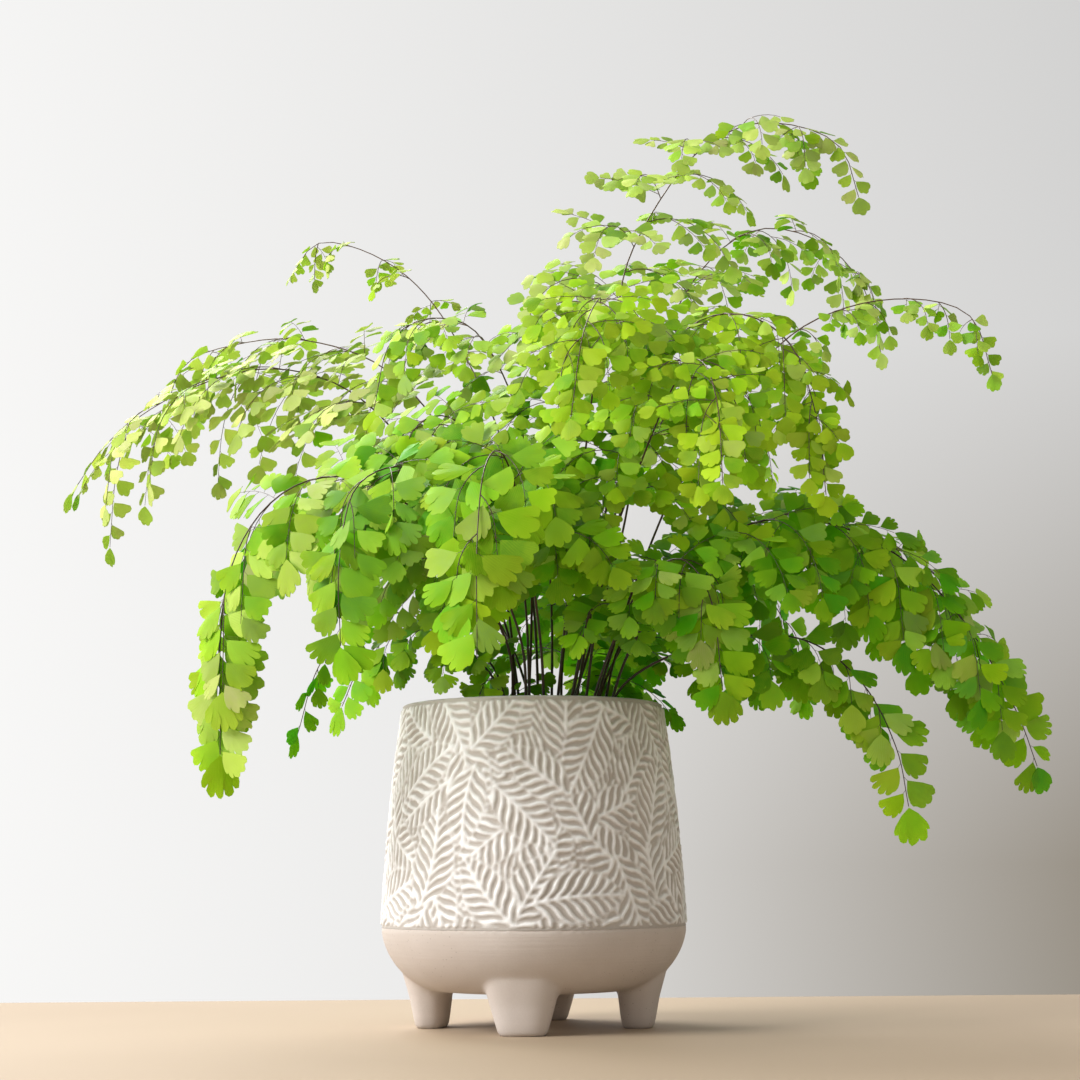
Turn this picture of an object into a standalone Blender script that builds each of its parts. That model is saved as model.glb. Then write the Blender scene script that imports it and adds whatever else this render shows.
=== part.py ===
# A potted maidenhair fern: a footed pot, the soil in it, and the fronds that stand in the soil.
# Metres, +Z up. The origin is on the floor under the pot's axis, +X to the right seen from the
# front and -Y towards the front.
import math
import random

import bmesh
import bpy
from mathutils import Matrix, Vector
from mathutils.bvhtree import BVHTree

MM = 0.001
UP = Vector((0.0, 0.0, 1.0))
CLEARANCE = 0.3 * MM  # gap between pieces that touch

# Pot
POT_HEIGHT = 155 * MM
POT_RIM_RADIUS = 65 * MM
POT_MIDDLE_RADIUS = 71.3 * MM
POT_BELLY_RADIUS = 75 * MM
POT_BAND_FOOT = 48 * MM  # height where the raised band ends and the plain bowl begins
POT_BAND_STEP = 1.1 * MM  # how far the band stands proud of the bowl
POT_UNDERSIDE = 18 * MM
POT_UNDERSIDE_RADIUS = 46 * MM
BOWL_SQUARENESS = 1.78  # of the bowl's curve from the band's foot to the underside, 2 is an ellipse
POT_WALL = 6 * MM
POT_FLOOR = 8 * MM
POT_RIM_ROUND = 2 * MM
POT_SIDES = 36

# Feet: radial and sideways half sizes of the rounded section, and its centre, at rising heights
FOOT_COUNT = 4
FOOT_TURN = math.radians(-96)  # the front foot stands a little left of the middle
FOOT_SECTIONS = (  # height, centre radius, half length outwards, half width sideways
    (0 * MM, 50.0 * MM, 7.8 * MM, 11.4 * MM),
    (14 * MM, 50.5 * MM, 9.9 * MM, 15.4 * MM),
    (25 * MM, 51.5 * MM, 12.2 * MM, 18.0 * MM),
    (34 * MM, 52.0 * MM, 12.0 * MM, 13.5 * MM),
)
FOOT_SIDES = 12
FOOT_SQUARENESS = 2.8  # 2 is an ellipse, more is squarer

# Soil
SOIL_EDGE = 136 * MM  # height of its surface at the pot's wall
SOIL_TOP = 140 * MM  # and round the crown
SOIL_TOP_RADIUS = 42 * MM
HOLE_DEPTH = 13 * MM
HOLE_RADIUS = 1.75 * MM
HOLE_SIDES = 4

# Stalks and leaflets
CROWN = Vector((12 * MM, 0.0, 0.0))  # where the fern's crown is in the soil, seen from above
CROWN_RINGS = (7 * MM, 15 * MM, 23 * MM)
STALK_RADIUS = 0.95 * MM
STALK_TIP_RADIUS = 0.6 * MM
STALK_STEPS = ((0.0, 0.34, 2), (0.34, 1.0, 12))  # from and to which part of it, in how many steps
RIB_HALF_WIDTH = 0.55 * MM
BLADE_THICKNESS = 0.7 * MM
BLADE_ROOM = 0.55 * MM  # kept free on both sides of a blade when it is placed
LEAFLET_BASE = 1.2 * MM  # half the width of a leaflet where it joins its rib
LEAFLET_PITCH = 0.45  # distance between leaflets along a rib, in leaflet lengths
LEAFLET_EDGE = ((26, 0.92), (-24, 1.0))  # degrees from its axis, part of its length
END_EDGE = ((36, 0.86), (0, 1.0), (-36, 0.86))
LEAFLET_FOLD = 0.16  # how far a leaflet's end hangs below its rib, in leaflet lengths
LEAFLET_LEAN = (66, 50)  # degrees between rib and leaflet, from the first to the last
LEAFLET_TAPER = 0.2  # how much smaller the last leaflets are
BARE_RIB = 4.5 * MM  # between the stalk and a branch's first leaflets
SUNK = 3 * MM  # how deep the leafy strip goes into the end of the stalk's tube

# Side branches, and the stalk's own leafy end
BRANCH_FORWARD = 48  # degrees that a branch leans along the stalk
BRANCH_DROOP = 95  # degrees that it bends down over its length
BRANCH_BENDS = 7
BRANCH_SIZES = (0.82, 1.06)  # of the leaflets, from the branch next to the tip to the lowest
SHORT_BRANCHES = 2  # how many next to the tip have one leaflet less
STEEPEST = 84  # degrees below level that nothing passes when it hangs
END_EXTRA = 2  # how many more leaflets the stalk's end has than a branch
END_PART = 0.8  # how much of the leafy end the planned path covers
END_BARE = 6 * MM
END_GAP = 4 * MM  # from the last branch to the end's base
LOOK_UP = 0.6  # how far the hanging end looks up as well as out

# Placing: how far each try may swing from the plan once the swing is full
END_SWING = 35  # degrees about the upright
FORWARD_SWING = 18
TURN_SWING = 26
DROOP_SWING = 0.6  # part of the droop
ROLL = 8  # degrees about the branch, in every try
ROLL_SWING = 22
TRIES_TO_FULL_SWING = 12
PLACING_TRIES = 40
LEAFLETS_SPARED = 2  # how many a branch may do without where it finds no room
SEED = 7

POT_COLOUR = (0.55, 0.49, 0.43, 1.0)
SOIL_COLOUR = (0.06, 0.04, 0.03, 1.0)
FRESH_COLOUR = (0.36, 0.50, 0.05, 1.0)
LEAF_COLOUR = (0.16, 0.36, 0.03, 1.0)
DEEP_COLOUR = (0.08, 0.25, 0.04, 1.0)


def frond(name, ring, turn, branches, laterals, leaflet, first, face, colour, path):
    """ring and turn place it on the crown. A branch has this many laterals and an end, all with
    leaflets of this length. first is the part of the stalk's length where the branches begin, and
    face the way its hanging end looks. Lengths and the path's points are in millimetres."""
    return {
        "name": "frond_" + name,
        "ring": ring,
        "turn": turn,
        "path": [Vector(point) * MM for point in path],
        "branches": branches,
        "laterals": laterals,
        "leaflet": leaflet * MM,
        "first": first,
        "face": Vector((face[0], face[1], 0.0)).normalized(),
        "colour": colour,
    }


FRONDS = [
    frond("top_right", 0, 10, 6, 4, 13, 0.56, (0, -1), LEAF_COLOUR, [
        (34, 4, 228), (44, 8, 306), (46, 8, 362), (56, 6, 396), (84, 0, 437), (112, -4, 453),
        (140, -5, 452), (161, -5, 440), (169, -5, 414)]),
    frond("back_right", 0, 60, 6, 4, 14, 0.48, (1, 1), LEAF_COLOUR, [
        (46, 28, 242), (64, 60, 336), (92, 82, 398), (126, 96, 429), (162, 104, 426), (188, 110, 402),
        (198, 112, 362)]),
    frond("right_thin", 1, 15, 5, 4, 10, 0.5, (0, -1), LEAF_COLOUR, [
        (52, 4, 216), (84, 2, 286), (126, -4, 336), (160, -10, 354), (196, -14, 357), (222, -15, 347),
        (231, -15, 318)]),
    frond("mound_right", 1, -35, 6, 4, 14, 0.42, (1, -2), FRESH_COLOUR, [
        (34, -16, 210), (50, -28, 280), (72, -45, 329), (98, -62, 337), (122, -76, 319),
        (133, -84, 281), (136, -86, 244)]),
    frond("mound_front", 0, -100, 7, 4, 14, 0.42, (0, -1), FRESH_COLOUR, [
        (20, -18, 225), (30, -36, 300), (34, -62, 338), (32, -98, 334), (24, -132, 308), (18, -152, 266)]),
    frond("mound_near", 1, -75, 6, 4, 14, 0.42, (0, -1), FRESH_COLOUR, [
        (30, -24, 205), (52, -44, 265), (70, -76, 303), (78, -112, 301), (82, -142, 274),
        (82, -158, 236)]),
    frond("left_middle", 1, 165, 6, 4, 13, 0.45, (-1, -2), LEAF_COLOUR, [
        (0, 2, 215), (-4, -2, 292), (-25, -8, 341), (-50, -14, 349), (-70, -15, 336), (-78, -15, 302)]),
    frond("young_left", 1, 125, 4, 3, 8.5, 0.62, (-1, 1), FRESH_COLOUR, [
        (0, 18, 215), (-15, 40, 296), (-40, 62, 358), (-64, 74, 394), (-92, 80, 414), (-118, 82, 419),
        (-132, 82, 401)]),
    frond("back_left_high", 2, 150, 6, 4, 13, 0.46, (-1, 1), LEAF_COLOUR, [
        (-14, 22, 215), (-44, 46, 298), (-80, 66, 344), (-126, 78, 363), (-166, 86, 362),
        (-192, 90, 352), (-202, 91, 326)]),
    frond("back_left_long", 2, 135, 7, 4, 14, 0.42, (-1, 1), LEAF_COLOUR, [
        (-16, 30, 206), (-54, 52, 280), (-94, 64, 328), (-140, 71, 345), (-188, 74, 334),
        (-227, 74, 308), (-248, 74, 278)]),
    frond("front_left_long", 2, -165, 6, 4, 17, 0.42, (-1, -6), LEAF_COLOUR, [
        (-12, -16, 184), (-40, -38, 229), (-72, -54, 256), (-104, -64, 257), (-129, -71, 236),
        (-142, -75, 197), (-142, -76, 128)]),
    frond("front_left", 2, -130, 4, 4, 17, 0.45, (-1, -3), DEEP_COLOUR, [
        (-6, -26, 188), (-30, -62, 237), (-54, -90, 257), (-77, -112, 245), (-84, -120, 210),
        (-83, -122, 172)]),
    frond("front_middle", 2, -105, 4, 4, 18, 0.45, (0, -1), LEAF_COLOUR, [
        (4, -32, 186), (-4, -72, 238), (-12, -112, 259), (-19, -144, 247), (-22, -162, 212),
        (-22, -167, 164)]),
    frond("left_front_upper", 1, -150, 5, 4, 14, 0.42, (-1, -2), LEAF_COLOUR, [
        (-4, -14, 213), (-18, -36, 263), (-36, -58, 287), (-54, -74, 279), (-64, -82, 244)]),
    frond("right_long", 2, -5, 7, 4, 16, 0.36, (1, -5), DEEP_COLOUR, [
        (48, -6, 181), (76, -14, 222), (110, -24, 242), (148, -32, 239), (184, -35, 218),
        (212, -34, 185), (232, -29, 149), (242, -25, 122)]),
    frond("right_behind", 2, 22, 6, 4, 15, 0.42, (1, 1), DEEP_COLOUR, [
        (46, 16, 190), (84, 28, 238), (132, 40, 257), (178, 45, 247), (213, 45, 222), (231, 45, 182)]),
    frond("right_low", 2, -30, 5, 3, 15, 0.42, (0, -1), LEAF_COLOUR, [
        (46, -14, 165), (72, -20, 179), (104, -26, 186), (134, -32, 182), (158, -37, 161),
        (172, -40, 131), (177, -40, 103)]),
    frond("front_right", 2, -55, 5, 4, 16, 0.42, (1, -4), DEEP_COLOUR, [
        (38, -26, 180), (54, -48, 210), (70, -70, 217), (82, -86, 196), (86, -92, 154)]),
    frond("behind_middle_right", 1, 75, 5, 4, 14, 0.45, (1, 2), FRESH_COLOUR, [
        (32, 26, 210), (58, 60, 290), (88, 94, 334), (117, 122, 328), (137, 138, 288)]),
    frond("rim_left", 2, 182, 4, 3, 13, 0.4, (-1, -1), LEAF_COLOUR, [
        (-18, 2, 172), (-38, 4, 192), (-60, 6, 195), (-83, 8, 181), (-95, 8, 156)]),
    frond("behind_left_low", 2, 110, 5, 4, 14, 0.45, (-1, 2), DEEP_COLOUR, [
        (-14, 44, 196), (-52, 84, 253), (-97, 120, 281), (-141, 142, 274), (-172, 150, 243),
        (-184, 152, 202)]),
    frond("behind_left_hanging", 2, 168, 4, 3, 12, 0.45, (-1, 1), DEEP_COLOUR, [
        (-22, 22, 174), (-58, 50, 205), (-90, 74, 208), (-115, 88, 185), (-127, 92, 148)]),
    frond("back_middle", 1, 100, 6, 4, 14, 0.42, (0, 1), LEAF_COLOUR, [
        (10, 30, 210), (6, 74, 280), (2, 118, 304), (-2, 152, 284), (-4, 167, 238)]),
    frond("back_low", 2, 85, 5, 4, 15, 0.42, (0, 1), DEEP_COLOUR, [
        (16, 42, 184), (24, 84, 222), (32, 122, 230), (40, 152, 206), (44, 165, 160)]),
    frond("back_right_low", 2, 50, 5, 4, 15, 0.42, (1, 1), DEEP_COLOUR, [
        (44, 32, 184), (74, 66, 224), (108, 98, 236), (138, 124, 216), (152, 136, 170)]),
]


def use_material(obj, name, colour, roughness):
    """Gives the object a plain material of its own, or the one that has this name already."""
    material = bpy.data.materials.get(name)
    if material is None:
        material = bpy.data.materials.new(name)
        material.use_nodes = True
        shader = material.node_tree.nodes["Principled BSDF"]
        shader.inputs["Base Color"].default_value = colour
        shader.inputs["Roughness"].default_value = roughness
        shader.inputs["Metallic"].default_value = 0.0
    obj.data.materials.clear()
    obj.data.materials.append(material)


def add_mesh(name, shape, collection):
    """Makes a named object from a bmesh, which it frees."""
    mesh = bpy.data.meshes.new(name)
    shape.to_mesh(mesh)
    shape.free()
    obj = bpy.data.objects.new(name, mesh)
    collection.objects.link(obj)
    return obj


def evaluated_mesh(obj):
    """A new mesh of the object with its modifiers, or of the curve with its bevel."""
    bpy.context.view_layer.update()
    graph = bpy.context.evaluated_depsgraph_get()
    return bpy.data.meshes.new_from_object(obj.evaluated_get(graph))


def apply_modifiers(obj):
    mesh = evaluated_mesh(obj)
    old = obj.data
    obj.modifiers.clear()
    obj.data = mesh
    bpy.data.meshes.remove(old)


def turned(name, profile, sides, collection):
    """Turns a profile of (radius, height) points, outer side downwards, about the Z axis."""
    shape = bmesh.new()
    rows = [shape.verts.new((radius, 0.0, height)) for radius, height in profile]
    for first, second in zip(rows, rows[1:]):
        shape.edges.new((first, second))
    obj = add_mesh(name, shape, collection)
    screw = obj.modifiers.new("turn", "SCREW")
    screw.steps = sides
    screw.render_steps = sides
    screw.use_merge_vertices = True
    screw.merge_threshold = 0.01 * MM
    apply_modifiers(obj)
    return obj


def join_flat_faces(obj):
    """Joins faces that lie in one plane, such as the slices of a turned disc."""
    shape = bmesh.new()
    shape.from_mesh(obj.data)
    bmesh.ops.dissolve_limit(shape, angle_limit=math.radians(0.1), verts=shape.verts, edges=shape.edges)
    shape.to_mesh(obj.data)
    shape.free()


def make_cutter(obj):
    obj.hide_render = True
    obj.display_type = "WIRE"


def combine(obj, operation, collection=None, other=None, solver="EXACT"):
    """A Boolean with another object or a whole collection, applied."""
    boolean = obj.modifiers.new("combine", "BOOLEAN")
    boolean.operation = operation
    boolean.solver = solver
    if collection is not None:
        boolean.operand_type = "COLLECTION"
        boolean.collection = collection
    else:
        boolean.object = other
    apply_modifiers(obj)


def pot_outside():
    """The pot's outer profile from the rim's middle down and in to the axis."""
    bowl = POT_BELLY_RADIUS - POT_BAND_STEP
    drop = POT_BAND_FOOT - POT_UNDERSIDE
    run = bowl - POT_UNDERSIDE_RADIUS
    rim = []
    for angle in (0.0, math.pi / 4, math.pi / 2):
        inwards = POT_RIM_ROUND * (1 - math.sin(angle))
        down = POT_RIM_ROUND * (1 - math.cos(angle))
        rim.append((POT_RIM_RADIUS - inwards, POT_HEIGHT - down))
    band = [
        (POT_MIDDLE_RADIUS, 0.5 * (POT_HEIGHT + POT_BAND_FOOT)),
        (POT_BELLY_RADIUS, POT_BAND_FOOT + 2 * POT_BAND_STEP),
        (POT_BELLY_RADIUS, POT_BAND_FOOT + 0.5 * POT_BAND_STEP),
        (bowl, POT_BAND_FOOT),
    ]
    power = 2 / BOWL_SQUARENESS
    bottom = []
    for degrees in (24, 46, 68):
        inwards, down = math.cos(math.radians(degrees)), math.sin(math.radians(degrees))
        bottom.append((POT_UNDERSIDE_RADIUS + run * inwards**power, POT_BAND_FOOT - drop * down**power))
    bottom.append((POT_UNDERSIDE_RADIUS, POT_UNDERSIDE))
    return [(0.0, POT_HEIGHT)] + rim + band + bottom + [(0.0, POT_UNDERSIDE)]


def pot_inside(gap, top):
    """The inner wall's profile, moved inwards by a gap, from the wall at a height to the axis."""
    floor = POT_UNDERSIDE + POT_FLOOR + gap
    corner = POT_UNDERSIDE_RADIUS + 4 * MM - gap
    belly = POT_BELLY_RADIUS - POT_BAND_STEP - POT_WALL - gap
    middle = POT_MIDDLE_RADIUS - POT_WALL - gap
    rim = POT_RIM_RADIUS - POT_WALL - gap
    middle_height = 0.5 * (POT_HEIGHT + POT_BAND_FOOT)
    part = (top - middle_height) / (POT_HEIGHT - middle_height)
    return [
        (middle + (rim - middle) * part, top),
        (middle, middle_height),
        (belly, POT_BAND_FOOT),
        (corner, floor),
        (0.0, floor),
    ]


def foot_ring(shape, section):
    """One rounded-square ring of a foot's surface."""
    height, centre, half_length, half_width = section
    ring = []
    for index in range(FOOT_SIDES):
        angle = 2 * math.pi * index / FOOT_SIDES
        along, across = math.cos(angle), math.sin(angle)
        power = 2 / FOOT_SQUARENESS
        x = centre + half_length * math.copysign(abs(along) ** power, along)
        y = half_width * math.copysign(abs(across) ** power, across)
        ring.append(shape.verts.new((x, y, height)))
    return ring


def make_foot(name, collection):
    """A tapered stub lofted through its sections, reaching up into the bowl's wall."""
    shape = bmesh.new()
    rings = [foot_ring(shape, section) for section in FOOT_SECTIONS]
    for lower, upper in zip(rings, rings[1:]):
        for index in range(FOOT_SIDES):
            after = (index + 1) % FOOT_SIDES
            shape.faces.new((lower[index], lower[after], upper[after], upper[index]))
    shape.faces.new(list(reversed(rings[0])))
    shape.faces.new(rings[-1])
    return add_mesh(name, shape, collection)


def make_pot(parts, cutters):
    pot = turned("pot", pot_outside(), POT_SIDES, parts)
    feet = bpy.data.collections.new("feet")
    bpy.context.scene.collection.children.link(feet)
    for index in range(FOOT_COUNT):
        foot = make_foot(f"foot_{index}", feet)
        foot.rotation_euler.z = FOOT_TURN + 2 * math.pi * index / FOOT_COUNT
    combine(pot, "UNION", collection=feet)
    for foot in list(feet.objects):
        bpy.data.objects.remove(foot)
    bpy.data.collections.remove(feet)

    inner_rim = POT_RIM_RADIUS - POT_WALL
    flare = [
        (0.0, POT_HEIGHT + 1 * MM),
        (inner_rim + POT_RIM_ROUND, POT_HEIGHT + 1 * MM),
        (inner_rim + POT_RIM_ROUND, POT_HEIGHT - 0.02 * MM),
        (inner_rim + 0.3 * POT_RIM_ROUND, POT_HEIGHT - 0.3 * POT_RIM_ROUND),
    ]
    wall = pot_inside(0.0, POT_HEIGHT - POT_RIM_ROUND)
    cavity = turned("pot_cavity", flare + wall, POT_SIDES, cutters)
    make_cutter(cavity)
    combine(pot, "DIFFERENCE", other=cavity)
    join_flat_faces(pot)
    use_material(pot, "pot", POT_COLOUR, 0.8)
    pot.data.shade_smooth()
    pot.data.set_sharp_from_angle(angle=math.radians(35))
    return pot


def make_soil(parts, cutters, bases):
    """The filling of the pot, with a plain hole for each stalk."""
    wall = pot_inside(CLEARANCE, SOIL_EDGE)
    soil = turned("soil", [(0.0, SOIL_TOP), (SOIL_TOP_RADIUS, SOIL_TOP)] + wall, POT_SIDES, parts)
    join_flat_faces(soil)
    holes = bpy.data.collections.new("holes")
    cutters.children.link(holes)
    for index, base in enumerate(bases):
        shape = bmesh.new()
        bmesh.ops.create_cone(
            shape, cap_ends=True, segments=HOLE_SIDES,
            radius1=HOLE_RADIUS, radius2=HOLE_RADIUS, depth=2 * HOLE_DEPTH,
        )
        hole = add_mesh(f"hole_{index}", shape, holes)
        hole.location = base
        make_cutter(hole)
    combine(soil, "DIFFERENCE", collection=holes)
    use_material(soil, "soil", SOIL_COLOUR, 0.95)
    return soil


class Line:
    """A path of straight runs that is read by the distance along it."""

    def __init__(self, points):
        self.points = points
        self.marks = [0.0]
        for first, second in zip(points, points[1:]):
            self.marks.append(self.marks[-1] + (second - first).length)
        self.length = self.marks[-1]

    def run(self, distance):
        for index in range(len(self.points) - 2):
            if distance < self.marks[index + 1]:
                return index
        return len(self.points) - 2

    def at(self, distance):
        index = self.run(distance)
        return self.points[index] + self.way(distance) * (distance - self.marks[index])

    def way(self, distance):
        index = self.run(distance)
        return (self.points[index + 1] - self.points[index]).normalized()


def smooth_line(knots, stretches):
    """A Catmull-Rom curve through the knots, as points: each stretch has its own number of steps."""
    ends = [2 * knots[0] - knots[1]] + knots + [2 * knots[-1] - knots[-2]]
    fine = []
    steps = 16
    for a, b, c, d in zip(ends, ends[1:], ends[2:], ends[3:]):
        for step in range(steps):
            t = step / steps
            bend_part = (2 * a - 5 * b + 4 * c - d) * t**2
            twist_part = (3 * b - a - 3 * c + d) * t**3
            fine.append(0.5 * (2 * b + (c - a) * t + bend_part + twist_part))
    line = Line(fine + [knots[-1]])
    points = [knots[0]]
    for start, stop, steps in stretches:
        for step in range(steps):
            points.append(line.at(line.length * (start + (stop - start) * (step + 1) / steps)))
    return Line(points)


def crown_place(plan):
    """Where a frond's stalk leaves the soil."""
    angle = math.radians(plan["turn"])
    radius = CROWN_RINGS[plan["ring"]]
    x, y = CROWN.x + radius * math.cos(angle), CROWN.y + radius * math.sin(angle)
    return Vector((x, y, SOIL_TOP))


def stalk_line(plan):
    """The frond's middle line, from the bottom of its hole to its tip."""
    base = crown_place(plan)
    foot = base - UP * (HOLE_DEPTH - CLEARANCE)
    line = smooth_line([base + UP * 2 * MM] + plan["path"], STALK_STEPS)
    return Line([foot] + line.points)


def leaflet_points(start, side, lean, length):
    """A fan-shaped leaflet on one side of a rib, as (along, across) points in the flat."""
    points = [(start - LEAFLET_BASE, side * RIB_HALF_WIDTH)]
    for turn, part in LEAFLET_EDGE:
        angle = math.radians(lean + turn)
        reach = length * part
        aside = RIB_HALF_WIDTH + reach * math.sin(angle)
        points.append((start + reach * math.cos(angle), side * aside))
    points.append((start + LEAFLET_BASE, side * RIB_HALF_WIDTH))
    return points


def leafy_outline(laterals, leaflet, bare):
    """Both sides and the end of a rib whose leaflets are cut down to it."""
    pitch = LEAFLET_PITCH * leaflet
    sides = {1: [], -1: []}
    for index in range(laterals):
        side = 1 if index % 2 == 0 else -1
        size = leaflet * (1.0 - LEAFLET_TAPER * (index / laterals) ** 2)
        lean = LEAFLET_LEAN[0] + (LEAFLET_LEAN[1] - LEAFLET_LEAN[0]) * index / laterals
        sides[side] += leaflet_points(bare + pitch * index, side, lean, size)
    end = bare + pitch * (laterals - 0.4)
    tip = []
    for turn, part in END_EDGE:
        angle = math.radians(turn)
        tip.append((end + leaflet * part * math.cos(angle), leaflet * part * math.sin(angle)))
    return sides[1], tip, sides[-1]


def leafy_length(laterals, leaflet, bare):
    return bare + leaflet * (LEAFLET_PITCH * (laterals - 0.4) + 1.0)


def droop_line(start, way, bend_down, length):
    """A path that leaves in one direction and bends down evenly, but never past straight down."""
    flat = Vector((way.x, way.y, 0.0)).normalized()
    pitch = math.asin(max(-1.0, min(1.0, way.z)))
    points = [start]
    for index in range(BRANCH_BENDS):
        angle = max(-math.radians(STEEPEST), pitch - bend_down * (index + 0.5) / BRANCH_BENDS)
        way_on = flat * math.cos(angle) + UP * math.sin(angle)
        points.append(points[-1] + way_on * (length / BRANCH_BENDS))
    return Line(points)


def flat_sheet(outline):
    """A flat outline as one sheet of triangles, with its corners in the outline's order."""
    shape = bmesh.new()
    corners = [shape.verts.new((along, across, 0.0)) for along, across in outline]
    shape.faces.new(corners)
    bmesh.ops.triangulate(shape, faces=shape.faces, ngon_method="BEAUTY")
    return shape, corners


def bend(corners, outline, line, across_at, leaflet):
    """Lays the outline along a line, with its leaflets folded down at the rib."""
    for corner, (along, aside) in zip(corners, outline):
        across = across_at(along)
        normal = across.cross(line.way(along)).normalized()
        if normal.z < 0:
            normal.negate()
        sag = LEAFLET_FOLD * max(0.0, abs(aside) - RIB_HALF_WIDTH) ** 2 / leaflet
        corner.co = line.at(along) + across * aside - normal * sag


def envelope(shape, half, roots=()):
    """The sheet thickened on both sides, to test what it would touch, without the faces at its root."""
    shape.verts.index_update()
    outer = [vertex.co + vertex.normal * half for vertex in shape.verts]
    inner = [vertex.co - vertex.normal * half for vertex in shape.verts]
    count = len(outer)
    faces = []
    for face in shape.faces:
        if any(vertex in roots for vertex in face.verts):
            continue
        corners = [vertex.index for vertex in face.verts]
        faces.append(corners)
        faces.append([index + count for index in reversed(corners)])
    for edge in shape.edges:
        if edge.is_boundary and not any(vertex in roots for vertex in edge.verts):
            a, b = (vertex.index for vertex in edge.verts)
            faces.append([a, b, b + count, a + count])
    return outer + inner, faces


def stalk_envelope(line, start, stop, radius):
    """A square tube round part of a stalk."""
    points, faces = [], []
    marks = [start] + [mark for mark in line.marks if start < mark < stop] + [stop]
    for mark in marks:
        way = line.way(mark)
        first = way.orthogonal().normalized()
        second = way.cross(first)
        centre = line.at(mark)
        points += [centre + radius * v for v in (first, second, -first, -second)]
    for index in range(len(marks) - 1):
        for corner in range(4):
            after = (corner + 1) % 4
            low, high = 4 * index, 4 * index + 4
            faces.append([low + corner, low + after, high + after, high + corner])
    return points, faces


class Space:
    """What has been placed so far, for keeping new pieces clear of it."""

    def __init__(self):
        self.items = []

    def add(self, points, faces):
        tree = BVHTree.FromPolygons(points, faces)
        low = [min(point[axis] for point in points) for axis in range(3)]
        high = [max(point[axis] for point in points) for axis in range(3)]
        self.items.append((tree, low, high))

    def is_clear(self, points, faces, own):
        """True if the piece touches nothing but the items numbered in own."""
        low = [min(point[axis] for point in points) for axis in range(3)]
        high = [max(point[axis] for point in points) for axis in range(3)]
        tree = BVHTree.FromPolygons(points, faces)
        for index, (other, other_low, other_high) in enumerate(self.items):
            if index in own:
                continue
            if any(low[axis] > other_high[axis] or high[axis] < other_low[axis] for axis in range(3)):
                continue
            if tree.overlap(other):
                return False
        return True


class Frond:
    """One frond while it grows: its middle line, how its side branches sit on it, and its sheets."""

    def __init__(self, plan):
        self.plan = plan
        self.line = stalk_line(plan)
        heading = plan["path"][-1] - plan["path"][0]
        heading.z = 0.0
        self.side = heading.normalized().cross(UP)
        self.end_laterals = plan["laterals"] + END_EXTRA
        end_length = leafy_length(self.end_laterals, plan["leaflet"], END_BARE)
        self.end_start = self.line.length - END_PART * end_length
        self.first = plan["first"] * self.line.length
        self.sheets = []

    def roots(self):
        """Where each side branch leaves the stalk, from the tip down, as (distance, side)."""
        count = self.plan["branches"]
        top = self.end_start - END_GAP
        step = (top - self.first) / (count - 1)
        return [(top - step * index, 1 if index % 2 == 0 else -1) for index in range(count)]

    def across(self, distance, look):
        """Sideways on the stalk: level among the side branches, turning to the look near the tip."""
        way = self.line.way(distance)
        part = max(0.0, min(1.0, (distance - self.end_start) / (self.line.length - self.end_start)))
        sideways = self.side * (1 - part) + way.cross(look) * part
        return (sideways - way * sideways.dot(way)).normalized()

    def rib_point(self, distance, side, look):
        return self.line.at(distance) + self.across(distance, look) * (side * RIB_HALF_WIDTH)

    def main_sheet(self, laterals, jitter):
        """The stalk's leafy part: a strip with a place for each side branch, and the end leaflets."""
        look = (self.plan["face"] + UP * LOOK_UP).normalized()
        look.rotate(Matrix.Rotation(math.radians(END_SWING * jitter * random.uniform(-1, 1)), 3, "Z"))
        self.look = look
        start = self.first - SUNK
        edges = {1: [(start, RIB_HALF_WIDTH)], -1: [(start, -RIB_HALF_WIDTH)]}
        for distance, side in reversed(self.roots()):
            edges[side] += [(distance - LEAFLET_BASE, side * RIB_HALF_WIDTH)]
            edges[side] += [(distance + LEAFLET_BASE, side * RIB_HALF_WIDTH)]
            edges[-side] += [(distance, -side * RIB_HALF_WIDTH)]
        left, tip, right = leafy_outline(laterals, self.plan["leaflet"], self.end_start + END_BARE)
        outline = edges[1] + left + tip + list(reversed(edges[-1] + right))
        shape, corners = flat_sheet(outline)
        bend(corners, outline, self.line, lambda along: self.across(along, look), self.plan["leaflet"])
        return shape, ()

    def branch_sheet(self, distance, side, size, laterals, jitter):
        """A side branch. jitter is how freely it may swing, from 0 to 1."""
        leaflet = self.plan["leaflet"] * size
        forward = math.radians(BRANCH_FORWARD + FORWARD_SWING * jitter * random.uniform(-1, 1))
        way = self.line.way(distance)
        start_way = (self.side * (side * math.cos(forward)) + way * math.sin(forward)).normalized()
        turn = math.radians(TURN_SWING * jitter * random.uniform(-1, 1))
        start_way.rotate(Matrix.Rotation(turn, 3, "Z"))
        droop = math.radians(BRANCH_DROOP * (1 + DROOP_SWING * jitter * random.uniform(-1, 1)))
        length = leafy_length(laterals, leaflet, BARE_RIB)
        branch = droop_line(self.rib_point(distance, side, self.look), start_way, droop, length)
        across = UP.cross(start_way).normalized()
        roll = math.radians(ROLL + ROLL_SWING * jitter) * random.uniform(-1, 1)
        across.rotate(Matrix.Rotation(roll, 3, start_way))

        left, tip, right = leafy_outline(laterals, leaflet, BARE_RIB)
        outline = [(0.0, RIB_HALF_WIDTH)] + left + tip + list(reversed([(0.0, -RIB_HALF_WIDTH)] + right))
        shape, corners = flat_sheet(outline)
        bend(corners, outline, branch, lambda along: across, leaflet)
        corners[0].co = self.rib_point(distance + side * LEAFLET_BASE, side, self.look)
        corners[-1].co = self.rib_point(distance - side * LEAFLET_BASE, side, self.look)
        return shape, (corners[0], corners[-1])


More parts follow.
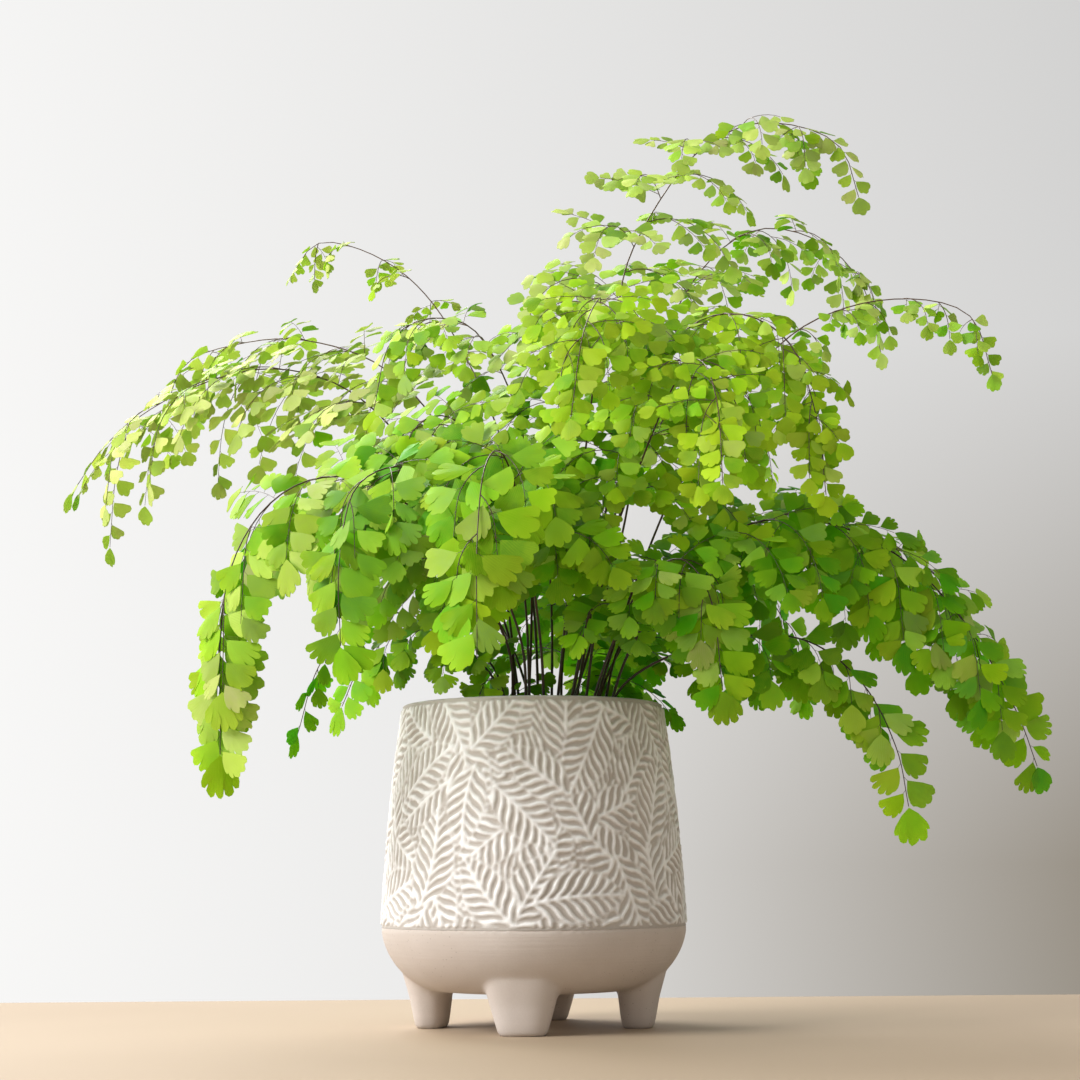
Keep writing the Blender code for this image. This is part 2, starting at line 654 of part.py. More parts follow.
def stalk_object(plan, line, stop, collection):
    """The bare stalk as a thin tube, from its hole up to where its leaves begin."""
    curve = bpy.data.curves.new(plan["name"], "CURVE")
    curve.dimensions = "3D"
    curve.bevel_depth = STALK_RADIUS
    curve.bevel_resolution = 0
    curve.use_fill_caps = True
    marks = [mark for mark in line.marks if mark < stop - 5 * MM] + [stop]
    spline = curve.splines.new("POLY")
    spline.points.add(len(marks) - 1)
    for point, mark in zip(spline.points, marks):
        point.co = (*line.at(mark), 1.0)
        point.radius = 1.0 + (STALK_TIP_RADIUS / STALK_RADIUS - 1.0) * mark / stop
    tube = bpy.data.objects.new(plan["name"] + "_tube", curve)
    collection.objects.link(tube)
    mesh = evaluated_mesh(tube)
    bpy.data.objects.remove(tube)
    shape = bmesh.new()
    shape.from_mesh(mesh)
    bpy.data.meshes.remove(mesh)
    bmesh.ops.remove_doubles(shape, verts=shape.verts, dist=0.001 * MM)
    return add_mesh(plan["name"], shape, collection)


def fits(space, shape, roots, own):
    """True if a sheet is clear of everything but its own stalk, and of that too past its root."""
    shape.normal_update()
    half = 0.5 * BLADE_THICKNESS + BLADE_ROOM
    if not space.is_clear(*envelope(shape, half), own):
        return False
    return not roots or space.is_clear(*envelope(shape, half, roots), own[:1])


def place(space, own, make, leaflets):
    """Tries ever freer places for a sheet and then fewer leaflets, until it touches nothing."""
    for fewer in range(LEAFLETS_SPARED + 1):
        for attempt in range(PLACING_TRIES):
            shape, roots = make(leaflets - fewer, min(1.0, attempt / TRIES_TO_FULL_SWING))
            if fits(space, shape, roots, own):
                space.add(*envelope(shape, 0.5 * BLADE_THICKNESS))
                return shape
            shape.free()
    return None


def grow_fronds(space):
    """Places every leafy sheet clear of the others, round by round from the tips down."""
    fronds = [Frond(plan) for plan in FRONDS]
    for growing in fronds:
        growing.own = [len(space.items)]
        space.add(*stalk_envelope(growing.line, HOLE_DEPTH, growing.end_start, STALK_RADIUS + CLEARANCE))
    for growing in fronds:
        growing.sheets.append(place(space, growing.own, growing.main_sheet, growing.end_laterals))
        growing.own.append(len(space.items) - 1)
    for order in range(max(plan["branches"] for plan in FRONDS)):
        for growing in fronds:
            if order >= growing.plan["branches"]:
                continue
            distance, side = growing.roots()[order]
            part = order / (growing.plan["branches"] - 1)
            size = BRANCH_SIZES[0] + (BRANCH_SIZES[1] - BRANCH_SIZES[0]) * part
            laterals = growing.plan["laterals"] - (1 if order < SHORT_BRANCHES else 0)

            def make(leaflets, jitter):
                return growing.branch_sheet(distance, side, size, leaflets, jitter)

            sheet = place(space, growing.own, make, laterals)
            if sheet is not None:
                growing.sheets.append(sheet)
    return fronds


def make_frond(grown, parts):
    """Joins a frond's sheets at their roots, thickens them and fuses them with the stalk."""
    plan = grown.plan
    whole = bmesh.new()
    for sheet in grown.sheets:
        mesh = bpy.data.meshes.new("sheet")
        sheet.to_mesh(mesh)
        sheet.free()
        whole.from_mesh(mesh)
        bpy.data.meshes.remove(mesh)
    bmesh.ops.remove_doubles(whole, verts=whole.verts, dist=0.005 * MM)
    bmesh.ops.recalc_face_normals(whole, faces=whole.faces)
    leaves = bpy.data.collections.new("leaves")
    bpy.context.scene.collection.children.link(leaves)
    blade = add_mesh("blade", whole, leaves)
    solidify = blade.modifiers.new("thickness", "SOLIDIFY")
    solidify.thickness = BLADE_THICKNESS
    solidify.offset = 0.0
    apply_modifiers(blade)
    stalk = stalk_object(plan, grown.line, grown.first, parts)
    combine(stalk, "UNION", collection=leaves)
    bpy.data.objects.remove(blade)
    bpy.data.collections.remove(leaves)
    use_material(stalk, plan["name"], plan["colour"], 0.5)
    return stalk


def main():
    random.seed(SEED)
    for obj in list(bpy.data.objects):
        bpy.data.objects.remove(obj)
    parts = bpy.data.collections.new("potted_maidenhair_fern")
    cutters = bpy.data.collections.new("cutters")
    for collection in (parts, cutters):
        bpy.context.scene.collection.children.link(collection)

    pot = make_pot(parts, cutters)
    soil = make_soil(parts, cutters, [crown_place(plan) for plan in FRONDS])
    space = Space()
    for obj in (pot, soil):
        points = [vertex.co for vertex in obj.data.vertices]
        space.add(points, [list(face.vertices) for face in obj.data.polygons])
    for grown in grow_fronds(space):
        make_frond(grown, parts)


main()
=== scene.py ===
import math
import random

import bmesh
import bpy
import numpy as np
from mathutils import Matrix, Vector, noise
from mathutils.bvhtree import BVHTree


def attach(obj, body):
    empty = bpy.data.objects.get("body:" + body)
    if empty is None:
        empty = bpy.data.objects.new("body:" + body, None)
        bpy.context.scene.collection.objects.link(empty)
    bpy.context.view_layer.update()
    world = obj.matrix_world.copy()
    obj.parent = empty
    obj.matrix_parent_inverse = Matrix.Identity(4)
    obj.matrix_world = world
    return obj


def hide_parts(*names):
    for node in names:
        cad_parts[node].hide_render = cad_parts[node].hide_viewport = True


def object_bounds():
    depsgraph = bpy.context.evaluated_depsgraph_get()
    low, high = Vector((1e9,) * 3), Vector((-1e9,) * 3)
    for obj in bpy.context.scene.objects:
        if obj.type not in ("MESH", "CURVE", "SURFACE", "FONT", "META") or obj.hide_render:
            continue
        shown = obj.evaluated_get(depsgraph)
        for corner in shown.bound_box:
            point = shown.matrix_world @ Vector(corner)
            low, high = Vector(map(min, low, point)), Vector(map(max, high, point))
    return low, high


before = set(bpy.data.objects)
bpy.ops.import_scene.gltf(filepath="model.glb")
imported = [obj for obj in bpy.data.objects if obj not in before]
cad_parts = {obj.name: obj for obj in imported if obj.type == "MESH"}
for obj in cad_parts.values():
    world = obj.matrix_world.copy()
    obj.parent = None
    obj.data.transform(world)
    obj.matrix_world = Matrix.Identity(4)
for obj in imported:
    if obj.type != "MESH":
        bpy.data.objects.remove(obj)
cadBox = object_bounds()

mm = 0.001  # the pieces' sizes are in millimetres, those of shaders and studio in metres
up = Vector((0.0, 0.0, 1.0))
random.seed(21)


# Small helpers for meshes and shader nodes

def clamp(value):
    return max(0.0, min(1.0, value))


def linked(name, data):
    obj = bpy.data.objects.new(name, data)
    bpy.context.scene.collection.objects.link(obj)
    return obj


def addObject(name, mesh, materials):
    # a finished piece that rides on the frame, with the materials it is given
    obj = linked(name, mesh)
    for material in materials:
        obj.data.materials.append(material)
    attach(obj, "root")
    return obj


def meshFrom(name, points, faces):
    mesh = bpy.data.meshes.new(name)
    mesh.from_pydata([tuple(p) for p in points], [], faces)
    mesh.update()
    mesh.shade_smooth()
    return mesh


def quads(lower, higher):
    # the faces between two closed rings of points
    return zip(lower, lower[1:] + lower[:1], higher[1:] + higher[:1], higher)


def takeMesh(obj):
    # the mesh that an object's modifiers or curve make; the object itself goes
    bpy.context.view_layer.update()
    graph = bpy.context.evaluated_depsgraph_get()
    mesh = bpy.data.meshes.new_from_object(obj.evaluated_get(graph))
    bpy.data.objects.remove(obj)
    return mesh


def feed(tree, node, inputs):
    # each input gets a value or a link from a socket
    for key, value in inputs.items():
        if isinstance(value, bpy.types.NodeSocket):
            tree.links.new(value, node.inputs[key])
        else:
            node.inputs[key].default_value = value
    return node


def put(tree, kind, inputs=None, **settings):
    node = tree.nodes.new(kind)
    for key, value in settings.items():
        setattr(node, key, value)
    return feed(tree, node, inputs or {})


def maths(tree, operation, first, second=0.0, third=0.0, clamp=False):
    inputs = {0: first, 1: second, 2: third}
    return put(tree, "ShaderNodeMath", inputs, operation=operation, use_clamp=clamp).outputs[0]


def blendColour(tree, factor, first, second):
    return put(tree, "ShaderNodeMix", {0: factor, 6: first, 7: second}, data_type="RGBA").outputs[2]


def spread(tree, value, low, high, newLow=0.0, newHigh=1.0):
    ends = {"From Min": low, "From Max": high, "To Min": newLow, "To Max": newHigh}
    return put(tree, "ShaderNodeMapRange", {"Value": value, **ends}).outputs["Result"]


def position(tree):
    return put(tree, "ShaderNodeNewGeometry").outputs["Position"]


def cloudy(tree, place, scale, detail, roughness=0.5):
    inputs = {"Vector": place, "Scale": scale, "Detail": detail, "Roughness": roughness}
    return put(tree, "ShaderNodeTexNoise", inputs).outputs["Fac"]


def cells(tree, place, scale):
    return put(tree, "ShaderNodeTexVoronoi", {"Vector": place, "Scale": scale}).outputs["Distance"]


def bumped(tree, height, strength, distance):
    inputs = {"Height": height, "Strength": strength, "Distance": distance}
    return put(tree, "ShaderNodeBump", inputs).outputs["Normal"]


def newGroup(name, inputs):
    # a group that makes a surface's colour, height and roughness
    group = bpy.data.node_groups.new(name, "ShaderNodeTree")
    outputs = {"Colour": "NodeSocketColor", "Height": "NodeSocketFloat",
               "Roughness": "NodeSocketFloat"}
    for way, sockets in (("INPUT", inputs), ("OUTPUT", outputs)):
        for label, kind in sockets.items():
            group.interface.new_socket(name=label, in_out=way, socket_type=kind)
    return group, group.nodes.new("NodeGroupInput").outputs, group.nodes.new("NodeGroupOutput")


def useGroup(tree, group, inputs):
    return put(tree, "ShaderNodeGroup", inputs, node_tree=group).outputs


def newMaterial(name):
    material = bpy.data.materials.new(name)
    material.use_nodes = True
    return material, material.node_tree, material.node_tree.nodes["Principled BSDF"]


def cloudedMaterial(name, cloud, limits, colours, roughness):
    # two colours in clouds; returns its cloud and colour too, for more on top of them
    material, tree, shader = newMaterial(name)
    cloud = cloudy(tree, position(tree), *cloud)
    colour = blendColour(tree, spread(tree, cloud, *limits), *colours)
    rough = spread(tree, cloud, 0.3, 0.7, *roughness)
    feed(tree, shader, {"Base Color": colour, "Roughness": rough})
    return material, tree, shader, cloud, colour


def claySpeckleGroup():
    # an uneven fired surface: broad clouds, fine grain and a few small open pits
    group, given, result = newGroup("claySpeckle", {
        "Position": "NodeSocketVector", "Base": "NodeSocketColor", "Shade": "NodeSocketColor",
        "Grain": "NodeSocketFloat", "Pits": "NodeSocketFloat"})
    cloud = cloudy(group, given["Position"], 26.0, 3.0)
    grain = cloudy(group, given["Position"], given["Grain"], 2.0)
    pit = spread(group, cells(group, given["Position"], 420.0), 0.16, 0.05)
    hole = maths(group, "MULTIPLY", pit, given["Pits"], clamp=True)
    hole = maths(group, "MULTIPLY", hole, spread(group, cloud, 0.5, 0.62))
    soft = blendColour(group, spread(group, cloud, 0.35, 0.65), given["Base"], given["Shade"])
    mottled = blendColour(group, spread(group, grain, 0.3, 0.7, 0.0, 0.35), soft, given["Shade"])
    feed(group, result, {
        "Colour": blendColour(group, hole, mottled, (0.16, 0.13, 0.11, 1)),
        "Height": maths(group, "SUBTRACT", maths(group, "MULTIPLY", grain, 0.5), hole),
        "Roughness": spread(group, grain, 0.3, 0.7, 0.72, 0.9)})
    return group


claySpeckle = claySpeckleGroup()


# The pot's raised band: leaves in low relief all round, brushed with white

potBand = {
    "sides": 600,
    "rows": 143,
    "foot": 48.0,
    "top": 153.4,
    "rimHeight": 155.0,
    "rimRadius": 65.0,
    "middleRadius": 71.3,
    "footRadius": 75.0,
    "wall": 6.0,
    "start": 0.7,  # height of the relief's lowest row over the foot
    "sink": 0.05,  # how far its highest points lie inside the outline
    "footCurve": ((2.4, -0.6), (1.1, 0.1)),  # distance in from the outside, and above the foot
    # distance in from the outside, and below the rim, of the points over the rim
    "rimCurve": ((1.3, 0.75), (2.2, 0.25), (3.3, 0.03), (4.3, 0.2), (5.2, 0.8), (5.9, 2.0)),
    "rimPaint": 0.25,
    "insideLevels": (146.0, 132.0, 110.0, 80.0, 50.0),
    "insideFoot": (66.0, 45.0),  # radius and height of the lowest points inside
    "calmTop": 1.5,  # the relief fades out over this height under the rim
    "calmFoot": 1.2,  # and over this one above the foot
    "seed": 11,
    # height of a row's leaves, how many stand round the pot and how far they lean in turn
    "leafRows": ((42.0, 18, (62, -24, -70, 8)), (63.0, 18, (-48, 20, 76, -14)),
                 (84.0, 17, (30, -64, 4, 60)), (104.0, 17, (-34, 70, 16, -58)),
                 (124.0, 16, (52, -12, -66, 26)), (145.0, 16, (-28, 48, 6, -60))),
    "stray": 0.16,  # how far a leaf stands off its place sideways, as part of the space it has
    "rise": 5,  # how far up or down
    "swing": 14,  # how many degrees its lean varies
    "turned": 0.3,  # part of the leaves that hang
    "leafSizes": (0.85, 1.12),
    "curve": 0.007,  # how far a leaf bends sideways
}

bandRelief = {
    "depth": 1.5,
    "leafLength": 43.0,
    "leafWidth": 24.0,
    "point": 0.75,  # power of the blade's taper to its two ends
    "belly": 0.22,  # how much wider its lower half is
    "veinPitch": 5.0,
    "veinLean": 1.08,
    "veinSwing": 0.09,
    "veinPower": 2.1,
    "veinStart": 1.4,
    "ribWidth": 0.7,
    "edgeFade": 0.7,
    "margin": (0.62, 0.75, 0.55),  # height of the raised margin, where it runs and how wide it is
}


def bandRadius(height):
    # three points of the outside joined by one smooth curve
    part = (height - potBand["foot"]) / (potBand["rimHeight"] - potBand["foot"])
    low, middle, high = potBand["footRadius"], potBand["middleRadius"], potBand["rimRadius"]
    return low + (-3 * low + 4 * middle - high) * part + 2 * (low - 2 * middle + high) * part**2


def bandLeaves(around):
    # leaves in leaning rows, the rows shifted against each other
    band = potBand
    draw = random.Random(band["seed"])
    leaves = []
    for row, (height, count, leans) in enumerate(band["leafRows"]):
        for index in range(count):
            stray = draw.uniform(-band["stray"], band["stray"])
            centre = around * (index + 0.5 * row + stray) / count
            level = height + draw.uniform(-band["rise"], band["rise"])
            turned = 180 if draw.random() < band["turned"] else 0
            swing = draw.uniform(-band["swing"], band["swing"])
            angle = math.radians(leans[index % len(leans)] + swing + turned)
            size = draw.uniform(*band["leafSizes"])
            curve = band["curve"]
            leaves.append((centre, level, angle, size, draw.random(), draw.uniform(-curve, curve)))
    return leaves


def reliefOver(across, height):
    # how far the relief stands up at each point, from 0 to 1
    leaf = bandRelief
    around = 2 * math.pi * potBand["middleRadius"]
    best = np.full(across.shape, -9.0)
    relief = np.zeros(across.shape)
    for centre, level, angle, size, rank, curve in bandLeaves(around):
        dx = (across - centre + 0.5 * around) % around - 0.5 * around
        dz = height - level
        along = dx * math.sin(angle) + dz * math.cos(angle)
        aside = dx * math.cos(angle) - dz * math.sin(angle) + curve * along**2
        half, width = 0.5 * leaf["leafLength"] * size, 0.5 * leaf["leafWidth"] * size
        away = np.abs(aside)
        part = np.clip(along / half, -1.0, 1.0)
        # how far inside the leaf's outline a point is
        inside = width * (1 - part**2) ** leaf["point"] * (1 - leaf["belly"] * part) - away
        # leaves lie over one another by their rank; gaps between them go to the nearest
        score = np.where(inside > 0, 10 + 5 * rank, -np.hypot(along / half, aside / width))
        swing = leaf["veinSwing"] * width * np.sin(2 * math.pi * np.clip(away / width, 0, 1.3))
        run = along - leaf["veinLean"] * away - swing
        wave = 0.5 + 0.5 * np.cos(2 * math.pi * (run / leaf["veinPitch"] + rank * 7))
        rib = np.exp(-((aside / leaf["ribWidth"]) ** 2))
        veins = wave ** leaf["veinPower"] * np.clip(away / leaf["veinStart"], 0.25, 1.0)
        value = np.maximum(veins, rib)
        high, place, wide = leaf["margin"]
        margin = high * np.exp(-(((inside - place) / wide) ** 2))
        faded = value * np.clip(inside / leaf["edgeFade"], 0, 1)
        value = np.where(inside > 0, np.maximum(faded, margin), value)
        ahead = score > best
        relief = np.where(ahead, value, relief)
        best = np.where(ahead, score, best)
    for axis in (0, 1):
        relief = 0.25 * np.roll(relief, 1, axis) + 0.5 * relief + 0.25 * np.roll(relief, -1, axis)
    return np.clip(relief, 0.0, 1.0)


def makeBand():
    band = potBand
    sides = band["sides"]
    angles = np.arange(sides) * 2 * math.pi / sides
    heights = np.linspace(band["foot"] + band["start"], band["top"], band["rows"])
    across, levels = np.meshgrid(angles * band["middleRadius"], heights)
    relief = reliefOver(across, levels)
    calm = np.clip((band["top"] - levels) / band["calmTop"], 0, 1)
    calm = calm * np.clip((levels - heights[0]) / band["calmFoot"], 0, 1)
    relief = relief * calm**0.5
    points, shade = [], []

    def addRow(radius, level, mark=0.0):
        # a ring of points, and how much white paint each takes
        radius = np.broadcast_to(radius, sides)
        row = np.stack([radius * np.cos(angles), radius * np.sin(angles), np.full(sides, level)], 1)
        points.append(row * mm)
        shade.append(np.broadcast_to(mark, sides))

    # from the band's foot up, over the rim and down inside
    for inwards, above in band["footCurve"]:
        addRow(band["footRadius"] - inwards, band["foot"] + above)
    for level, mark in zip(heights, relief):
        depth = bandRelief["depth"] * (1 - mark)
        addRow(bandRadius(level) - band["sink"] - depth, level, mark)
    rim = bandRadius(band["top"])
    for inwards, below in band["rimCurve"]:
        addRow(rim - inwards, band["rimHeight"] - below, band["rimPaint"])
    for level in band["insideLevels"]:
        addRow(bandRadius(level) - band["wall"], level)
    addRow(*band["insideFoot"])
    rings = [list(range(row * sides, (row + 1) * sides)) for row in range(len(points))]
    faces = [face for pair in zip(rings, rings[1:] + rings[:1]) for face in quads(*pair)]
    mesh = meshFrom("potBand", np.concatenate(points), faces)
    marks = mesh.attributes.new("relief", "FLOAT", "POINT")
    marks.data.foreach_set("value", np.concatenate(shade).astype(np.float32))
    return mesh


def bandMaterial():
    material, tree, shader = newMaterial("whiteBrushedRelief")
    place = position(tree)
    clay = useGroup(tree, claySpeckle, {
        "Position": place, "Base": (0.52, 0.485, 0.450, 1), "Shade": (0.45, 0.415, 0.380, 1),
        "Grain": 1500.0, "Pits": 0.2})
    relief = put(tree, "ShaderNodeAttribute", attribute_name="relief").outputs["Fac"]
    wear = spread(tree, cloudy(tree, place, 150.0, 4.0), 0.3, 0.7, -0.16, 0.16)
    paint = spread(tree, maths(tree, "ADD", relief, wear), 0.22, 0.68)  # white on the high parts
    feed(tree, shader, {
        "Base Color": blendColour(tree, paint, clay["Colour"], (0.86, 0.865, 0.87, 1)),
        "Roughness": clay["Roughness"],
        "Normal": bumped(tree, clay["Height"], 0.25, 0.0003),
        "Specular IOR Level": 0.25})
    return material


# The plain bowl under the band, with its four feet, cast in one

potBowl = {
    "top": 48.6,
    "topEdge": 0.6,
    "bellyRadius": 73.9,
    "seat": (60.0, 66.0, 4.0),  # under the band: radii of the step down, and its depth
    "underside": 18.0,
    "undersideRadius": 46.0,
    "squareness": 1.78,
    "turns": 128,
    "feet": 4,
    "footTurn": -96,
    # height, distance of the centre from the axis, half length outwards, half width sideways
    "footSections": ((0.0, 50.0, 6.9, 10.5), (0.5, 50.0, 7.6, 11.2), (7, 50.2, 8.8, 13.2),
                     (14, 50.5, 9.8, 15.2), (20, 51.0, 11.0, 16.8), (25, 51.5, 12.0, 17.8),
                     (29, 51.8, 12.0, 16.6), (34, 52.0, 11.6, 12.8)),
    "footSides": 40,
    "footSquareness": 2.7,
    "voxel": 1.3,
    "softening": (0.5, 2),  # factor and times
    "sole": 0.25,  # lower points than this are set on the floor
}


def addFoot(shape, turn):
    bowl = potBowl
    sides, power = bowl["footSides"], 2 / bowl["footSquareness"]
    rings = []
    for level, centre, halfLength, halfWidth in bowl["footSections"]:
        ring = []
        for side in range(sides):
            angle = 2 * math.pi * side / sides
            along, aside = math.cos(angle), math.sin(angle)
            x = centre + halfLength * math.copysign(abs(along) ** power, along)
            y = halfWidth * math.copysign(abs(aside) ** power, aside)
            ring.append(shape.verts.new(turn @ (Vector((x, y, level)) * mm)))
        rings.append(ring)
    for pair in zip(rings, rings[1:]):
        for face in quads(*pair):
            shape.faces.new(face)
    shape.faces.new(list(reversed(rings[0])))
    shape.faces.new(rings[-1])


def makeBowl():
    bowl = potBowl
    top, edge = bowl["top"], bowl["topEdge"]
    drop = top - edge - bowl["underside"]
    run = bowl["bellyRadius"] - bowl["undersideRadius"]
    inner, outer, deep = bowl["seat"]
    profile = [(0.0, top - deep), (inner, top - deep), (outer, top), (bowl["bellyRadius"], top)]
    power = 2 / bowl["squareness"]
    for degrees in range(5, 91, 5):
        inwards, down = math.cos(math.radians(degrees)), math.sin(math.radians(degrees))
        radius = bowl["undersideRadius"] + run * abs(inwards) ** power
        profile.append((radius, top - edge - drop * down**power))
    profile.append((0.0, bowl["underside"]))
    shape = bmesh.new()
    rows = [shape.verts.new((radius * mm, 0.0, level * mm)) for radius, level in profile]
    edges = [shape.edges.new(pair) for pair in zip(rows, rows[1:])]
    bmesh.ops.spin(shape, geom=rows + edges, cent=(0, 0, 0), axis=up, angle=2 * math.pi,
                   steps=bowl["turns"])
    bmesh.ops.remove_doubles(shape, verts=shape.verts, dist=0.01 * mm)
    for index in range(bowl["feet"]):
        addFoot(shape, Matrix.Rotation(math.radians(bowl["footTurn"] + 90 * index), 3, "Z"))
    bmesh.ops.recalc_face_normals(shape, faces=shape.faces)
    mesh = bpy.data.meshes.new("potBowlRough")
    shape.to_mesh(mesh)
    shape.free()
    rough = linked("potBowlRough", mesh)
    remesh = rough.modifiers.new("oneBody", "REMESH")
    remesh.mode = "VOXEL"
    remesh.voxel_size = bowl["voxel"] * mm
    soften = rough.modifiers.new("soften", "SMOOTH")
    soften.factor, soften.iterations = bowl["softening"]
    finished = takeMesh(rough)
    for vertex in finished.vertices:
        if vertex.co.z < bowl["sole"] * mm:
            vertex.co.z = 0.0
    finished.name = "potBowl"
    finished.materials.clear()
    finished.shade_smooth()
    return finished


def bowlMaterial():
    material, tree, shader = newMaterial("plainClay")
    place = position(tree)
    clay = useGroup(tree, claySpeckle, {
        "Position": place, "Base": (0.605, 0.550, 0.512, 1), "Shade": (0.54, 0.480, 0.437, 1),
        "Grain": 1300.0, "Pits": 0.5})
    height = put(tree, "ShaderNodeSeparateXYZ", {"Vector": place}).outputs["Z"]
    darkerLow = spread(tree, height, 0.006, 0.0, 0.0, 0.35)  # the lowest few millimetres, at the soles, are a little darker
    level = put(tree, "ShaderNodeMapping", {"Vector": place, "Scale": (18.0, 18.0, 900.0)})
    lines = cloudy(tree, level.outputs["Vector"], 1.0, 2.0)
    above = spread(tree, height, 0.024, 0.032)  # turning lines run round the bowl, not the feet
    raised = maths(tree, "ADD", clay["Height"], maths(tree, "MULTIPLY", lines, above))
    feed(tree, shader, {
        "Base Color": blendColour(tree, darkerLow, clay["Colour"], (0.30, 0.25, 0.21, 1)),
        "Roughness": clay["Roughness"],
        "Normal": bumped(tree, raised, 0.3, 0.0003),
        "Specular IOR Level": 0.25})
    return material


band = addObject("potBand", makeBand(), [bandMaterial()])
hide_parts("pot")
bowl = addObject("potBowl", makeBowl(), [bowlMaterial()])
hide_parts("pot")
print("pot", len(band.data.polygons), len(bowl.data.polygons))


# Soil: an uneven surface with loose crumbs and a few white grains

soilBed = {
    "top": 140.0,
    "edge": 136.0,
    "radius": 58.0,
    "rings": 46,
    "sides": 150,
    "depth": 18.0,
    "sunk": 1.6,
    # how much the surface waves, at three sizes of wave, and how close the widest are
    "waves": ((1.5, 1.0), (0.9, 3.1), (0.5, 7.3)),
    "wavePitch": 0.09,
    "waveSlice": 0.3,
    "crumbs": (520, 0.6, 2.1),  # number, smallest and largest radius
    "grains": (26, 0.7, 1.3),
    "raised": 0.25,  # how far a crumb's middle is over the surface, in its radius
    "flattening": ((0.7, 1.2), (0.6, 1.0), (0.45, 0.8)),
    "lumps": 0.18,
    "margin": 2.5,
    "seed": 3,
}


def soilHeight(x, y):
    bed = soilBed
    away = math.hypot(x, y) / bed["radius"]
    level = bed["top"] - bed["sunk"] - (bed["top"] - bed["edge"]) * away**3
    point = Vector((x * bed["wavePitch"], y * bed["wavePitch"], bed["waveSlice"]))
    return level + sum(height * noise.noise(point * size) for height, size in bed["waves"])


def addCrumb(shape, draw, sizes, material):
    bed = soilBed
    away = (bed["radius"] - bed["margin"]) * math.sqrt(draw.random())
    angle = draw.uniform(0, 2 * math.pi)
    x, y = away * math.cos(angle), away * math.sin(angle)
    size = draw.uniform(*sizes)
    made = bmesh.ops.create_icosphere(shape, subdivisions=1, radius=size * mm)
    turned = draw.uniform(0, 6.28)
    turn = Matrix.Rotation(turned, 3, Vector((draw.random(), draw.random(), draw.random() + 0.1)))
    flat = Vector([draw.uniform(*limits) for limits in bed["flattening"]])
    place = Vector((x, y, soilHeight(x, y) + bed["raised"] * size)) * mm
    for vertex in made["verts"]:
        lump = 1 + draw.uniform(-bed["lumps"], bed["lumps"])
        vertex.co = turn @ (vertex.co * flat) * lump + place
        for face in vertex.link_faces:
            face.material_index = material


def makeSoil():
    bed = soilBed
    draw = random.Random(bed["seed"])
    shape = bmesh.new()
    rings = []
    centre = shape.verts.new((0, 0, soilHeight(0, 0) * mm))
    for ring in range(1, bed["rings"] + 1):
        radius = bed["radius"] * ring / bed["rings"]
        row = []
        for side in range(bed["sides"]):
            angle = 2 * math.pi * side / bed["sides"]
            x, y = radius * math.cos(angle), radius * math.sin(angle)
            row.append(shape.verts.new((x * mm, y * mm, soilHeight(x, y) * mm)))
        rings.append(row)
    floor = (bed["edge"] - bed["depth"]) * mm
    below = [shape.verts.new((v.co.x, v.co.y, floor)) for v in rings[-1]]
    for side in range(bed["sides"]):
        after = (side + 1) % bed["sides"]
        shape.faces.new((centre, rings[0][side], rings[0][after]))
        for inner, outer in zip(rings, rings[1:] + [below]):
            shape.faces.new((inner[side], outer[side], outer[after], inner[after]))
    shape.faces.new(list(reversed(below)))
    for material, (number, *sizes) in enumerate((bed["crumbs"], bed["grains"])):
        for _ in range(number):
            addCrumb(shape, draw, sizes, material)
    mesh = bpy.data.meshes.new("soil")
    shape.to_mesh(mesh)
    shape.free()
    mesh.shade_smooth()
    return mesh


def soilMaterials():
    earth, tree, shader, clump, colour = cloudedMaterial(
        "pottingSoil", (320.0, 5.0, 0.65), (0.36, 0.66),
        ((0.018, 0.011, 0.007, 1), (0.105, 0.066, 0.040, 1)), (0.82, 1.0))
    fibre = spread(tree, cells(tree, position(tree), 700.0), 0.5, 0.9, 0.0, 0.5)
    feed(tree, shader, {
        "Base Color": blendColour(tree, fibre, colour, (0.16, 0.11, 0.07, 1)),
        "Normal": bumped(tree, clump, 0.9, 0.001)})
    grain = cloudedMaterial(
        "whiteGrains", (1400.0, 3.0), (0.4, 0.65),
        ((0.78, 0.76, 0.71, 1), (0.52, 0.48, 0.42, 1)), (0.8, 0.95))
    return [earth, grain[0]]


soil = addObject("soilBed", makeSoil(), soilMaterials())
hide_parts("soil")
print("soil", len(soil.data.polygons))


# Fronds: the same crown, paths and branches as the solids, forked once more and set with leaflets

